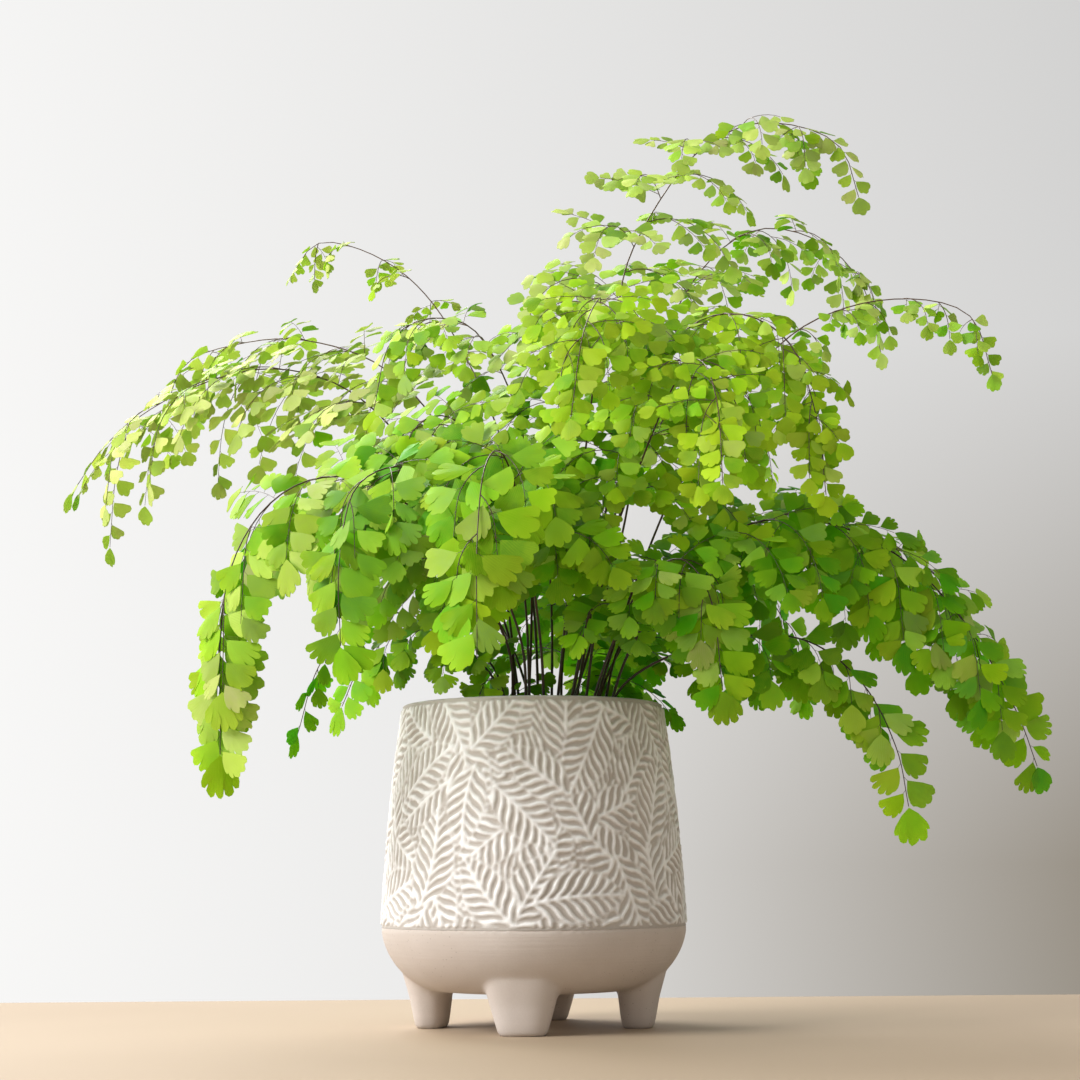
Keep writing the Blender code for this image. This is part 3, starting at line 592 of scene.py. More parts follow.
fern = {
    "crown": (12.0, 0.0),
    "rings": (7.0, 15.0, 23.0),
    "soilTop": 140.0,
    "sunk": 9.0,  # how deep a stalk goes into the soil
    "stalkRadius": (0.85, 0.20),  # at the soil and at the tip
    "ribRadius": (0.28, 0.14),
    "twigRadius": (0.18, 0.11),
    "stalkTaper": 0.7,
    "footstalkRadius": 0.10,
    "footstalk": 0.15,  # its length in leaflet lengths
    "footstalkInside": 0.06,  # how far it goes on into the leaflet
    "endFootstalk": 0.03,
    "thickness": 0.2,
    "smallest": 12.6,  # leaflets shorter than this are of the small kind
    "firstKnot": 2.0,  # over the soil, of a stalk's curve
    "curveSteps": 16,  # between two knots
    "stalkPoints": 46,
    "stalkRoom": (12.0, 0.8),  # a stalk keeps others away from this far up, and this far round it
    "end": 1.07,  # the leafy end of a stalk, against the reach of its branches
    "endGaps": (2.0, 4.0),  # from where it starts, to the first branch and to the first leaflet
    "endFresher": 0.1,
    "branchSpread": (0.94, 1.06),  # how the lengths of branches and twigs vary
    "twigSpread": (0.9, 1.08),
    "bare": (4.0, 0.8, 0.5),  # by the stalk: length, share on the top branch, gain to the lowest
    "forward": 46,  # degrees that a branch leans along the stalk
    "droop": 92,  # and bends down over its length
    "steepest": 84,
    "steepestStart": 0.42,  # how far up a branch may point where it leaves the stalk
    "lowestBranch": 1.24,
    "branchSteps": 9,
    "shortest": 2.6,  # branches below this many leaflets don't fork
    "twigLean": 56,
    "twigRise": 0.08,
    "twigBend": (20, 50),
    "twigSteps": 5,
    "twigLength": (0.60, 0.55),  # against its branch: at the branch's foot, and the loss on the way
    "twigLeaflets": 0.92,
    "twigStart": 0.8,  # where the first one stands, in bare lengths
    "twigBare": (2.6, 0.2),  # in millimetres, or this part of it if that is less
    # how far these vary at the first try, and how much more at the last ones
    "strays": {"forward": (8, 20), "turn": (8, 22), "droop": (0.18, 0.35), "twigLean": (8, 22),
               "twigTurn": (4, 18)},
    "ribTries": (14, 6),  # how many, and after how many they vary most
    "leafletTries": (9, 4),
    "shrink": 0.03,  # each try is shorter by this part
    "ribRoom": 0.25,  # ribs keep others away this far above and below them
    "lastGap": 0.35,  # between the last side leaflet and the end, in pitches
    "leanSpread": (5, 14),  # of a leaflet's lean at its first try, and what later ones add
    "sag": (0.16, 0.05),  # how far leaflets at the side and at the end point down
    "wander": 0.20,
    "facing": 0.6,  # how much a leaflet looks out of the plant, and not square to its rib
    "leafletSizes": (0.86, 1.08),
    "smaller": 0.22,  # how much smaller leaflets get along a rib
    "closer": 0.15,  # and how much closer
    "endSize": 0.92,
    "fanFresher": 0.06,
    "freshSpread": {"branch": 0.06, "twig": 0.04, "leaflet": 0.24},
    "tipFresher": 0.12,
    "centre": (12.0, 0.0, 195.0),  # leaflets look away from here
    "away": (0.6, 0.3),  # how much they do, and how much less in front
    "upwards": (0.36, 0.1),
    "light": ((-0.30, -1.0, 0.10), 0.8),  # the way to the light, and how much the front looks there
    "front": (95.0, 90.0),  # the depth where it starts, and how much nearer it is full
    "faceUp": 0.15,
    "boxRoom": (0.5, 1.2),  # of ribs and leaflets to the CAD box
}

# end fans and side leaflets come in two kinds, by their size
leafletKinds = {
    "small": {
        "growth": 1.07,  # against the mean of the solids' leaflets
        "pitch": 0.42,  # between leaflets along a rib, in leaflet lengths
        "lean": (58, 44),  # degrees from the rib, at its start and end
        "spread": (48, 41),  # half the angle of an end fan and of a side leaflet
        "branchSize": (0.88, 0.16),  # next to the tip, and the change towards the lowest branch
        "forked": (0.30, 0.28),  # part of a branch that has twigs, and its change in the same way
        "forkSpace": 0.92,
        "lobes": (3, 3, 4),
        "deepCuts": 0.2,  # part of the cuts that are deep
        "middle": 5,  # points half way out
    },
    "large": {
        "growth": 1.16, "pitch": 0.33, "lean": (56, 42), "spread": (46, 38),
        "branchSize": (0.90, -0.18), "forked": (0.14, 0.24), "forkSpace": 0.74,
        "lobes": (4, 5, 5), "deepCuts": 0.45, "middle": 7,
    },
}

# One row for each frond: its ring and turn on the crown, how many branches the solid has and their
# reach, leaflet length, freshness from deep to yellow green, and slot; how much longer its branches
# are here, the space between leaflets, the length of the branches next to the tip, where along the
# stalk the lowest stands, and degrees they are turned round; its cool tone and its share of the
# pale tone, which is partly a paler leaf and partly painted sheen; and its path
frondPlans = {
    "top_right": (0, 10, 7, 52, 10, 0.62, "leaf_green", (1.22, 1, 0.5, 0.48, -50),
        (0, 0.5), ((34, 4, 228), (44, 8, 306), (46, 8, 362), (56, 6, 396), (84, 0, 437),
        (112, -4, 453), (140, -5, 452), (161, -5, 440), (169, -5, 414))),
    "back_right": (0, 60, 6, 48, 11, 0.6, "leaf_green", (1.05, 1, 0.9, 0.42, -25),
        (0, 0.4), ((46, 28, 242), (64, 60, 336), (92, 82, 398), (126, 96, 429), (162, 104, 426),
        (188, 110, 402), (198, 112, 362))),
    "right_thin": (1, 15, 5, 31, 8.5, 0.62, "leaf_green", (0.85, 1.25, 0.8, 0.52, 0),
        (0, 0.3), ((52, 4, 216), (84, 2, 286), (126, -4, 336), (160, -10, 354), (196, -14, 357),
        (222, -15, 347), (231, -15, 318))),
    "mound_right": (1, -35, 6, 45, 10.5, 0.78, "leaf_fresh", (1.12, 0.95, 0.9, 0.36, 0),
        (0, -0.2), ((34, -16, 210), (50, -28, 280), (72, -45, 329), (98, -62, 337),
        (122, -76, 319), (133, -84, 281), (136, -86, 244))),
    "mound_front": (0, -100, 7, 45, 10.5, 0.82, "leaf_fresh", (1, 1, 0.86, 0.4, 0),
        (0, -0.2), ((20, -18, 225), (30, -36, 300), (34, -62, 338), (32, -98, 334),
        (24, -132, 308), (18, -152, 266))),
    "mound_near": (1, -75, 6, 45, 10.5, 0.76, "leaf_fresh", (1.1, 0.95, 0.9, 0.36, 0),
        (0, -0.2), ((30, -24, 205), (52, -44, 265), (70, -76, 303), (78, -112, 301),
        (82, -142, 274), (82, -158, 236))),
    "left_middle": (1, 165, 6, 48, 11, 0.66, "leaf_green", (1, 1.15, 0.86, 0.34, 0),
        (0, 0.15), ((0, 2, 215), (-4, -2, 292), (-25, -8, 341), (-50, -14, 349), (-70, -15, 336),
        (-78, -15, 302))),
    "young_left": (1, 125, 4, 24, 7.5, 0.75, "leaf_fresh", (1, 1, 0.86, 0.62, 0),
        (0, 0.7), ((0, 18, 215), (-15, 40, 296), (-40, 62, 358), (-64, 74, 394), (-92, 80, 414),
        (-118, 82, 419), (-132, 82, 401))),
    "back_left_high": (2, 150, 6, 46, 12, 0.68, "leaf_green", (1.15, 1.3, 0.9, 0.4, 20),
        (0, 0.7), ((-14, 22, 215), (-44, 46, 298), (-80, 66, 344), (-126, 78, 363),
        (-166, 86, 362), (-192, 90, 352), (-202, 91, 326))),
    "back_left_long": (2, 135, 7, 50, 12.5, 0.66, "leaf_green", (1.44, 1.35, 1.05, 0.36, 8),
        (0, 0.85), ((-16, 30, 206), (-54, 52, 280), (-94, 64, 328), (-140, 71, 345),
        (-188, 74, 334), (-227, 74, 308), (-248, 74, 278))),
    "front_left_long": (2, -165, 6, 52, 18.5, 0.72, "leaf_green", (1.24, 0.92, 0.62, 0.28, 0),
        (0, 0.15), ((-12, -16, 184), (-40, -38, 229), (-72, -54, 256), (-104, -64, 257),
        (-129, -71, 236), (-142, -75, 197), (-142, -76, 128))),
    "front_left": (2, -130, 5, 50, 16.5, 0.54, "leaf_deep", (1, 1, 0.55, 0.38, 0),
        (0.28, -0.2), ((-6, -26, 188), (-30, -62, 237), (-54, -90, 257), (-77, -112, 245),
        (-84, -120, 210), (-83, -122, 172))),
    "front_middle": (2, -105, 5, 50, 18, 0.58, "leaf_green", (1, 1, 0.62, 0.3, 0),
        (0, -0.2), ((4, -32, 186), (-4, -72, 238), (-12, -112, 259), (-19, -144, 247),
        (-22, -162, 212), (-22, -167, 164))),
    "left_front_upper": (1, -150, 5, 45, 12, 0.62, "leaf_green", (1.15, 0.95, 0.86, 0.34, 0),
        (0.18, -0.2), ((-4, -14, 213), (-18, -36, 263), (-36, -58, 287), (-54, -74, 279),
        (-64, -82, 244))),
    "right_long": (2, -5, 7, 56, 16.5, 0.52, "leaf_deep", (1.2, 1.08, 0.6, 0.34, 0),
        (0, -0.08), ((48, -6, 181), (76, -14, 222), (110, -24, 242), (148, -32, 239),
        (184, -35, 218), (212, -34, 185), (232, -29, 149), (242, -25, 122))),
    "right_behind": (2, 22, 6, 54, 14, 0.38, "leaf_deep", (0.95, 1.1, 0.7, 0.36, 0),
        (0, -0.14), ((46, 16, 190), (84, 28, 238), (132, 40, 257), (178, 45, 247), (213, 45, 222),
        (231, 45, 182))),
    "right_low": (2, -30, 5, 48, 16.5, 0.44, "leaf_green", (0.73, 1.1, 0.42, 0.32, 0),
        (0, -0.08), ((46, -14, 165), (72, -20, 179), (104, -26, 186), (134, -32, 182),
        (158, -37, 161), (172, -40, 131), (177, -40, 103))),
    "front_right": (2, -55, 5, 48, 15, 0.58, "leaf_deep", (1.05, 1, 0.55, 0.36, 0),
        (0.1, -0.08), ((38, -26, 180), (54, -48, 210), (70, -70, 217), (82, -86, 196),
        (86, -92, 154))),
    "behind_middle_right": (1, 75, 5, 45, 11, 0.7, "leaf_fresh", (1.1, 0.95, 0.9, 0.3, 0),
        (0, -0.2), ((32, 26, 210), (58, 60, 290), (88, 94, 334), (117, 122, 328),
        (137, 138, 288))),
    "rim_left": (2, 182, 5, 38, 13, 0.46, "leaf_green", (0.95, 1.05, 0.6, 0.16, 0),
        (0, -0.2), ((-18, 2, 172), (-38, 4, 192), (-60, 6, 195), (-83, 8, 181), (-95, 8, 156))),
    "behind_left_low": (2, 110, 6, 46, 13, 0.36, "leaf_deep", (0.86, 1.25, 0.7, 0.3, 0),
        (0, -0.2), ((-14, 44, 196), (-52, 84, 253), (-97, 120, 281), (-141, 142, 274),
        (-172, 150, 243), (-184, 152, 202))),
    "behind_left_hanging": (2, 168, 5, 36, 12.7, 0.34, "leaf_deep", (0.5, 2.1, 0.6, 0.22, 0),
        (0, -0.2), ((-22, 22, 174), (-58, 50, 205), (-90, 74, 208), (-115, 88, 185),
        (-127, 92, 148))),
    "back_middle": (1, 100, 6, 45, 12, 0.56, "leaf_green", (1, 1, 0.86, 0.26, 0),
        (0, -0.2), ((10, 30, 210), (6, 74, 280), (2, 118, 304), (-2, 152, 284), (-4, 167, 238))),
    "back_low": (2, 85, 5, 44, 14, 0.34, "leaf_deep", (1.2, 0.85, 0.9, 0.16, 0),
        (0, -0.2), ((16, 42, 184), (24, 84, 222), (32, 122, 230), (40, 152, 206), (44, 165, 160))),
    "back_right_low": (2, 50, 5, 44, 14, 0.34, "leaf_deep", (1, 1, 0.8, 0.24, 0),
        (0, -0.2), ((44, 32, 184), (74, 66, 224), (108, 98, 236), (138, 124, 216),
        (152, 136, 170))),
}


class Line:
    # a path of short straight runs, read by the distance along it

    def __init__(self, points):
        self.points = points
        self.marks = [0.0]
        for first, second in zip(points, points[1:]):
            self.marks.append(self.marks[-1] + (second - first).length)
        self.length = self.marks[-1]

    def run(self, distance):
        for index in range(len(self.points) - 2):
            if distance < self.marks[index + 1]:
                return index
        return len(self.points) - 2

    def at(self, distance):
        index = self.run(distance)
        return self.points[index] + self.way(distance) * (distance - self.marks[index])

    def way(self, distance):
        index = self.run(distance)
        return (self.points[index + 1] - self.points[index]).normalized()


def smoothLine(knots, count):
    # an even Catmull-Rom curve through the knots
    ends = [2 * knots[0] - knots[1]] + knots + [2 * knots[-1] - knots[-2]]
    fine = []
    for a, b, c, d in zip(ends, ends[1:], ends[2:], ends[3:]):
        for step in range(fern["curveSteps"]):
            t = step / fern["curveSteps"]
            bend = (2 * a - 5 * b + 4 * c - d) * t**2
            twist = (3 * b - a - 3 * c + d) * t**3
            fine.append(0.5 * (2 * b + (c - a) * t + bend + twist))
    line = Line(fine + [knots[-1]])
    return [line.at(line.length * index / (count - 1)) for index in range(count)]


def stalkLine(ring, turn, path):
    angle = math.radians(turn)
    radius = fern["rings"][ring]
    x = fern["crown"][0] + radius * math.cos(angle)
    y = fern["crown"][1] + radius * math.sin(angle)
    base = Vector((x, y, fern["soilTop"])) * mm
    knots = [base + up * fern["firstKnot"] * mm] + [Vector(p) * mm for p in path]
    points = smoothLine(knots, fern["stalkPoints"])
    return Line([base - up * fern["sunk"] * mm] + points)


def droopLine(start, way, bendDown, length, steps):
    flat = Vector((way.x, way.y, 0.0)).normalized()
    pitch = math.asin(max(-1.0, min(1.0, way.z)))
    points = [start]
    for index in range(steps):
        angle = max(-math.radians(fern["steepest"]), pitch - bendDown * (index + 0.5) / steps)
        run = flat * math.cos(angle) + up * math.sin(angle)
        points.append(points[-1] + run * (length / steps))
    return Line(points)


def lookFrom(point):
    # leaflets look out of the plant and up, those in front also towards the light
    away = (point - Vector(fern["centre"]) * mm).normalized()
    start, over = fern["front"]
    front = clamp((start * mm - point.y) / (over * mm))
    out, outLess = fern["away"]
    rise, riseLess = fern["upwards"]
    light, share = fern["light"]
    outwards = away * (out - outLess * front) + up * (rise - riseLess * front)
    return (outwards + Vector(light) * share * front).normalized()


def faceAcross(look, way):
    # the part of a look that is square to a direction
    face = look + up * fern["faceUp"]
    face = face - way * face.dot(way)
    return face.normalized() if face.length > 0.05 else way.orthogonal().normalized()


def stray(name, swing):
    # how far a value may vary; swing goes from 0 to 1 as more tries are needed
    calm, wild = fern["strays"][name]
    return calm + wild * swing


class Space:
    # what has been placed so far

    def __init__(self):
        self.trees = []
        self.low, self.high = np.zeros((16000, 3)), np.zeros((16000, 3))

    def add(self, points, faces):
        index = len(self.trees)
        array = np.array([tuple(p) for p in points])
        self.trees.append(BVHTree.FromPolygons(points, faces))
        self.low[index], self.high[index] = array.min(0), array.max(0)
        return index

    def isClear(self, points, faces, own):
        count = len(self.trees)
        array = np.array([tuple(p) for p in points])
        meets = (self.low[:count] < array.max(0)) & (self.high[:count] > array.min(0))
        near = np.nonzero(meets.all(axis=1))[0]
        if len(near) == 0:
            return True
        tree = BVHTree.FromPolygons(points, faces)
        return not any(tree.overlap(self.trees[index]) for index in near if index not in own)


def insideBox(points, margin):
    low, high = cadBox
    return all(low[axis] + margin < point[axis] < high[axis] - margin
               for point in points for axis in range(3))


class Leaflet:
    # its footstalk's foot, its base, the way it points, its face, size, hand and kind
    coarseFan = ((0.0, 0.0), (0.68, 0.47), (0.98, 0.0), (0.68, -0.47))
    coarseSide = ((0.0, 0.0), (0.74, 0.52), (0.97, 0.0), (0.62, -0.38))
    coarseFaces = [(0, 1, 2), (0, 2, 3)]
    coarseSag = 0.12

    def __init__(self, foot, base, way, face, size, hand, kind, fresh):
        self.foot, self.base, self.way, self.size = foot, base, way, size
        self.hand, self.kind, self.fresh = hand, kind, fresh
        self.face = (face - way * face.dot(way)).normalized()
        self.side = self.face.cross(way)

    def corners(self):
        # a coarse outline for keeping it clear of the rest
        hand = self.hand or 1
        corners = []
        for x, y in self.coarseSide if self.hand else self.coarseFan:
            off = self.way * x + self.side * (y * hand) - self.face * self.coarseSag * (x * x)
            corners.append(self.base + off * self.size)
        return corners


class Rib:
    # a branch or twig: leaflets stand from start to stop, and a fan at its end

    def __init__(self, line, start, radii, size, fresh, own):
        self.line, self.start, self.stop, self.radii = line, start, line.length, radii
        self.size, self.fresh, self.own = size, fresh, own
        self.leaflets = []

    def ribbon(self):
        # a coarse upright strip along it for keeping others away
        points, faces = [], []
        rise = up * fern["ribRoom"] * mm
        for mark in self.line.marks:
            spot = self.line.at(mark)
            points += [spot + rise, spot - rise]
        for a in range(0, 2 * len(self.line.marks) - 2, 2):
            faces += [(a, a + 1, a + 3), (a, a + 3, a + 2)]
        return points, faces

    def part(self, distance):
        return (distance - self.start) / max(1e-6, self.stop - self.start)

    def leaflet(self, distance, hand, size, kind, swing):
        foot, way = self.line.at(distance), self.line.way(distance)
        look = lookFrom(foot)
        flat = faceAcross(look, way)
        first, last = leafletKinds[kind]["lean"]
        calm, wild = fern["leanSpread"]
        lean = first + (last - first) * self.part(distance)
        lean = math.radians(lean + random.gauss(0, calm) + random.gauss(0, wild) * swing)
        sideSag, endSag = fern["sag"]
        if hand:
            point = way * math.cos(lean) + flat.cross(way) * (hand * math.sin(lean)) - up * sideSag
        else:
            point = way - up * endSag
        point.normalize()
        wander = Vector([random.gauss(0, 1) for _ in range(3)])
        wander *= fern["wander"] + fern["wander"] * swing
        face = look * fern["facing"] + flat * (1 - fern["facing"]) + wander
        length = fern["footstalk"] if hand else fern["endFootstalk"]
        fresh = self.fresh + random.gauss(0, fern["freshSpread"]["leaflet"])
        fresh += 0 if hand else fern["fanFresher"]
        return Leaflet(foot, foot + point * size * length, point, face, size, hand, kind, fresh)

    def grow(self, space, kind, spacing):
        spots = []
        distance, hand = self.start, random.choice((1, -1))
        pitch = leafletKinds[kind]["pitch"] * spacing * self.size
        while distance < self.stop - fern["lastGap"] * pitch:
            part = self.part(distance)
            spots.append((distance, hand, self.size * (1.0 - fern["smaller"] * part)))
            distance += pitch * (1 - fern["closer"] * part)
            hand = -hand
        spots.append((self.stop, 0, self.size * fern["endSize"]))
        tries, wildest = fern["leafletTries"]
        for distance, hand, size in reversed(spots):
            size *= random.uniform(*fern["leafletSizes"])
            for attempt in range(tries):
                smaller = size * (1 - fern["shrink"] * attempt)
                leaflet = self.leaflet(distance, hand, smaller, kind, clamp(attempt / wildest))
                corners, faces = leaflet.corners(), leaflet.coarseFaces
                inside = insideBox(corners, fern["boxRoom"][1] * mm)
                if inside and space.isClear(corners, faces, self.own):
                    space.add(corners, faces)
                    self.leaflets.append(leaflet)
                    break


class Frond:
    def __init__(self, name, plan):
        ring, turn, self.branches, reach, leaflet, self.fresh, self.slot, habit, tones, path = plan
        stretch, self.spacing, self.tipBranch, first, twist = habit
        self.name, self.tones = name, tones
        self.kind = "small" if leaflet < fern["smallest"] else "large"
        self.size = leaflet * mm * leafletKinds[self.kind]["growth"]
        self.branchLength = reach * mm * stretch
        self.line = stalkLine(ring, turn, path)
        heading = Vector(path[-1]) - Vector(path[0])
        heading.z = 0.0
        self.side = Matrix.Rotation(math.radians(twist), 3, "Z") @ heading.normalized().cross(up)
        self.first = first * self.line.length
        self.endStart = self.line.length - fern["end"] * (reach * mm)
        self.ribs = []

    def roots(self):
        # twice as many branches as the solid has, from the tip down
        count = 2 * self.branches - 1
        top = self.endStart + fern["endGaps"][0] * mm
        step = (top - self.first) / (count - 1)
        return [(top - step * index, 1 if index % 2 == 0 else -1, index / (count - 1))
                for index in range(count)]

    def tryRib(self, space, own, length, makeRib):
        # the first of several tries that is clear of the rest, or the last one, and its length
        tries, wildest = fern["ribTries"]
        for attempt in range(tries):
            shorter = length * (1 - fern["shrink"] * attempt)
            rib = makeRib(shorter, clamp(attempt / wildest))
            if not insideBox(rib.line.points, fern["boxRoom"][0] * mm):
                continue
            if attempt == tries - 1 or space.isClear(*rib.ribbon(), own):
                rib.own = own | {space.add(*rib.ribbon())}
                self.ribs.append(rib)
                return rib, shorter
        return None, 0.0

    def growBranch(self, space, distance, side, part):
        kind = leafletKinds[self.kind]
        small, big = self.tipBranch, fern["lowestBranch"]
        length = self.branchLength * (small + (big - small) * part)
        length *= random.uniform(*fern["branchSpread"])
        size = self.size * (kind["branchSize"][0] + kind["branchSize"][1] * part)
        fresh = self.fresh + random.gauss(0, fern["freshSpread"]["branch"])
        fresh += fern["tipFresher"] * (0.5 - part)

        def makeRib(length, swing):
            forward = fern["forward"] + stray("forward", swing) * random.uniform(-1, 1)
            forward = math.radians(forward)
            way = self.side * (side * math.cos(forward))
            way = (way + self.line.way(distance) * math.sin(forward)).normalized()
            turn = math.radians(stray("turn", swing)) * random.uniform(-1, 1)
            way.rotate(Matrix.Rotation(turn, 3, "Z"))
            way.z = min(way.z, fern["steepestStart"])
            way.normalize()
            bend = fern["droop"] * (1 + stray("droop", swing) * random.uniform(-1, 1))
            foot = self.line.at(distance)
            line = droopLine(foot, way, math.radians(bend), length, fern["branchSteps"])
            return Rib(line, 0.0, fern["ribRadius"], size, fresh, self.own)

        rib, length = self.tryRib(space, self.own, length, makeRib)
        if rib is None:
            return
        bare, least, more = fern["bare"]
        rib.start = bare * mm * (least + more * part)
        if length < fern["shortest"] * size:
            return
        forked = kind["forked"][0] + kind["forked"][1] * part
        most, less = fern["twigLength"]
        mark, hand = rib.start * fern["twigStart"], -side
        while mark < forked * length:
            twigLength = length * (most - less * (mark / length))
            twigLength *= random.uniform(*fern["twigSpread"])
            self.growTwig(space, rib, mark, hand, twigLength)
            mark += kind["forkSpace"] * size
            hand = -hand
        rib.start = mark

    def growTwig(self, space, rib, mark, hand, length):
        foot, way = rib.line.at(mark), rib.line.way(mark)
        flat = faceAcross(lookFrom(foot), way)

        def makeTwig(length, swing):
            lean = fern["twigLean"] + stray("twigLean", swing) * random.uniform(-1, 1)
            lean = math.radians(lean)
            start = way * math.cos(lean) + flat.cross(way) * (hand * math.sin(lean))
            start = (start + up * fern["twigRise"]).normalized()
            turn = math.radians(stray("twigTurn", swing)) * random.uniform(-1, 1)
            start.rotate(Matrix.Rotation(turn, 3, way))
            bend = math.radians(random.uniform(*fern["twigBend"]))
            line = droopLine(foot, start, bend, length, fern["twigSteps"])
            fresh = rib.fresh + random.gauss(0, fern["freshSpread"]["twig"])
            size = rib.size * fern["twigLeaflets"]
            return Rib(line, 0.0, fern["twigRadius"], size, fresh, rib.own)

        twig, _ = self.tryRib(space, rib.own, length, makeTwig)
        if twig:
            bare, part = fern["twigBare"]
            twig.start = min(bare * mm, part * twig.line.length)


def tubeFor(line, start, radius):
    # a coarse square tube round a stalk, to keep its place free
    points, rings = [], []
    for mark in line.marks:
        if mark >= start:
            way = line.way(mark)
            first = way.orthogonal().normalized()
            second = way.cross(first)
            rings.append([len(points) + corner for corner in range(4)])
            points += [line.at(mark) + radius * v for v in (first, second, -first, -second)]
    return points, [face for pair in zip(rings, rings[1:]) for face in quads(*pair)]


def growFern():
    space = Space()
    for node in ("pot", "soil"):
        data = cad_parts[node].data
        space.add([v.co.copy() for v in data.vertices], [tuple(f.vertices) for f in data.polygons])
    fronds = [Frond(name, plan) for name, plan in frondPlans.items()]
    high, radius = fern["stalkRoom"]
    for frond in fronds:
        frond.own = {space.add(*tubeFor(frond.line, high * mm, radius * mm))}
        start = frond.endStart + fern["endGaps"][1] * mm
        fresh = frond.fresh + fern["endFresher"]
        frond.ribs.append(Rib(frond.line, start, None, frond.size, fresh, frond.own))
    for order in range(2 * max(frond.branches for frond in fronds) - 1):
        for frond in fronds:
            roots = frond.roots()
            if order < len(roots):
                frond.growBranch(space, *roots[order])
    print("ribs", sum(len(frond.ribs) for frond in fronds))
    for frond in fronds:
        for rib in frond.ribs:
            rib.grow(space, frond.kind, frond.spacing)
    return fronds


leafletShape = {
    # how much nearer its base the margin runs at a side than in the middle, and the curve's power:
    # an end fan is alike on both sides, a side leaflet is long on one
    "fan": (0.36, 2.6),
    "longSide": (0.10, 4),
    "shortSide": (0.50, 1.9),
    "lobeWidths": (0.75, 1.25),
    "cuts": (0.06, 0.14),  # depth of the cuts between lobes
    "deepCuts": (0.18, 0.36),
    "cutWidth": (0.05, 0.008),  # part of the lobe's width, and a little more
    "lobe": ((0.0, 0.94), (0.32, 1.0), (0.68, 1.0), (1.0, 0.93)),
    "ragged": (-0.025, 0.02),
    "middle": (0.5, 0.21),  # how far out the middle row is, and how much less at the round sides
    "bulge": 0.13,  # how much wider the round sides are there
}


def marginAt(turn, hand):
    # how far out the margin is
    off = 2 * turn - 1
    side = "fan" if hand == 0 else "longSide" if off < 0 else "shortSide"
    less, power = leafletShape[side]
    return 1 - less * abs(off) ** power


def lobedRow(kind, draw):
    # points along the margin: turn from side to side, and reach against the smooth outline
    shape = leafletShape
    lobes = draw.choice(kind["lobes"])
    edges = [0.0]
    for _ in range(lobes):
        edges.append(edges[-1] + draw.uniform(*shape["lobeWidths"]))
    edges = [edge / edges[-1] for edge in edges]
    row = []
    for index in range(lobes):
        left, right = edges[index], edges[index + 1]
        if index > 0:
            cut = "deepCuts" if draw.random() < kind["deepCuts"] else "cuts"
            row.append((left, 1 - draw.uniform(*shape[cut])))
        share, more = shape["cutWidth"]
        gap = share * (right - left) + more
        for part, out in shape["lobe"]:
            turn = left + gap + (right - left - 2 * gap) * part
            row.append((turn, out + draw.uniform(*shape["ragged"])))
    return row


def leafletTemplate(name, hand, draw):
    # one leaflet of length 1 in the flat: its base, a row of points half way and a margin of lobes
    kind = leafletKinds[name]
    spreadAngle = math.radians(kind["spread"][hand])
    margin = lobedRow(kind, draw)
    middle = kind["middle"]
    out, less = leafletShape["middle"]
    points, marks = [(0.0, 0.0)], [(0.5, 0.0)]

    def addPoint(angle, radius, mark):
        points.append((radius * math.cos(angle), radius * math.sin(angle)))
        marks.append(mark)

    for index in range(middle):
        turn = index / (middle - 1)
        bulge = max(0.0, 2 * turn - 1) if hand else abs(2 * turn - 1)  # of the round sides
        angle = spreadAngle * (2 * turn - 1) * (1 + leafletShape["bulge"] * bulge)
        addPoint(angle, out - less * bulge ** 2, (turn, 0.5))
    for turn, far in margin:
        addPoint(spreadAngle * (2 * turn - 1), marginAt(turn, hand) * far, (turn, 1.0))
    total = len(points)
    faces = [(0, index, index + 1) for index in range(1, middle)]
    inner, outer = 1, middle + 1
    while inner < middle or outer < total - 1:  # a strip from the middle row to the margin
        if outer < total - 1 and (inner == middle or marks[outer + 1][0] <= marks[inner + 1][0]):
            faces.append((inner, outer, outer + 1))
            outer += 1
        else:
            faces.append((inner, outer, inner + 1))
            inner += 1
    border = [0, 1] + list(range(middle + 1, total)) + [middle]
    closed = faces + [tuple(index + total for index in reversed(face)) for face in faces]
    for first, second in zip(border, border[1:] + border[:1]):
        closed.append((second, first, first + total, second + total))
    return np.array(points), closed, [face[::-1] for face in closed], np.array(marks)


leafTones = {  # of the leaflets' own matter, save the pale one, which is partly painted sheen
    "deep": (0.070, 0.420, 0.001),
    "middle": (0.280, 0.585, 0.004),
    "fresh": (0.500, 0.690, 0.020),
    "cool": (0.190, 0.460, 0.110),
    # partly painted sheen: a whitish green for leaflets that catch the light
    "paleSheen": (0.790, 0.790, 0.340),
}

leafLook = {
    "seed": 8,
    "shapes": 7,  # of each kind
    "bright": (0.72, 1.24),
    "coolSpread": 0.12,
    "paleSheenSpread": 0.26,
    "inside": -0.10,  # how much fresher than its leaflet the middle is
    "rim": (0.10, 0.6, 1.05),  # and the rim, with its share of the cool tone and of the brightness
    "rimStart": 0.45,
    "wave": (0.015, 0.05),  # height of the waves across a leaflet, and how close they are
    "waves": (6, 10),
    "sag": (0.02, 0.26),  # how far its tip bends down, and its sides
    "cupping": (-0.15, 0.40),
    "widths": (0.92, 1.12),
    "sharp": 60,  # degrees from which an edge is sharp
}


def leafColour(fresh, cool, paleSheen, bright):
    fresh = clamp(fresh)
    tones = {name: np.array(tone) for name, tone in leafTones.items()}
    if fresh < 0.5:
        colour = tones["deep"] + (tones["middle"] - tones["deep"]) * fresh * 2
    else:
        colour = tones["middle"] + (tones["fresh"] - tones["middle"]) * (fresh * 2 - 1)
    for name, share in (("cool", cool), ("paleSheen", paleSheen)):
        colour = colour + (tones[name] - colour) * share
    return np.clip(colour * bright, 0, 1)


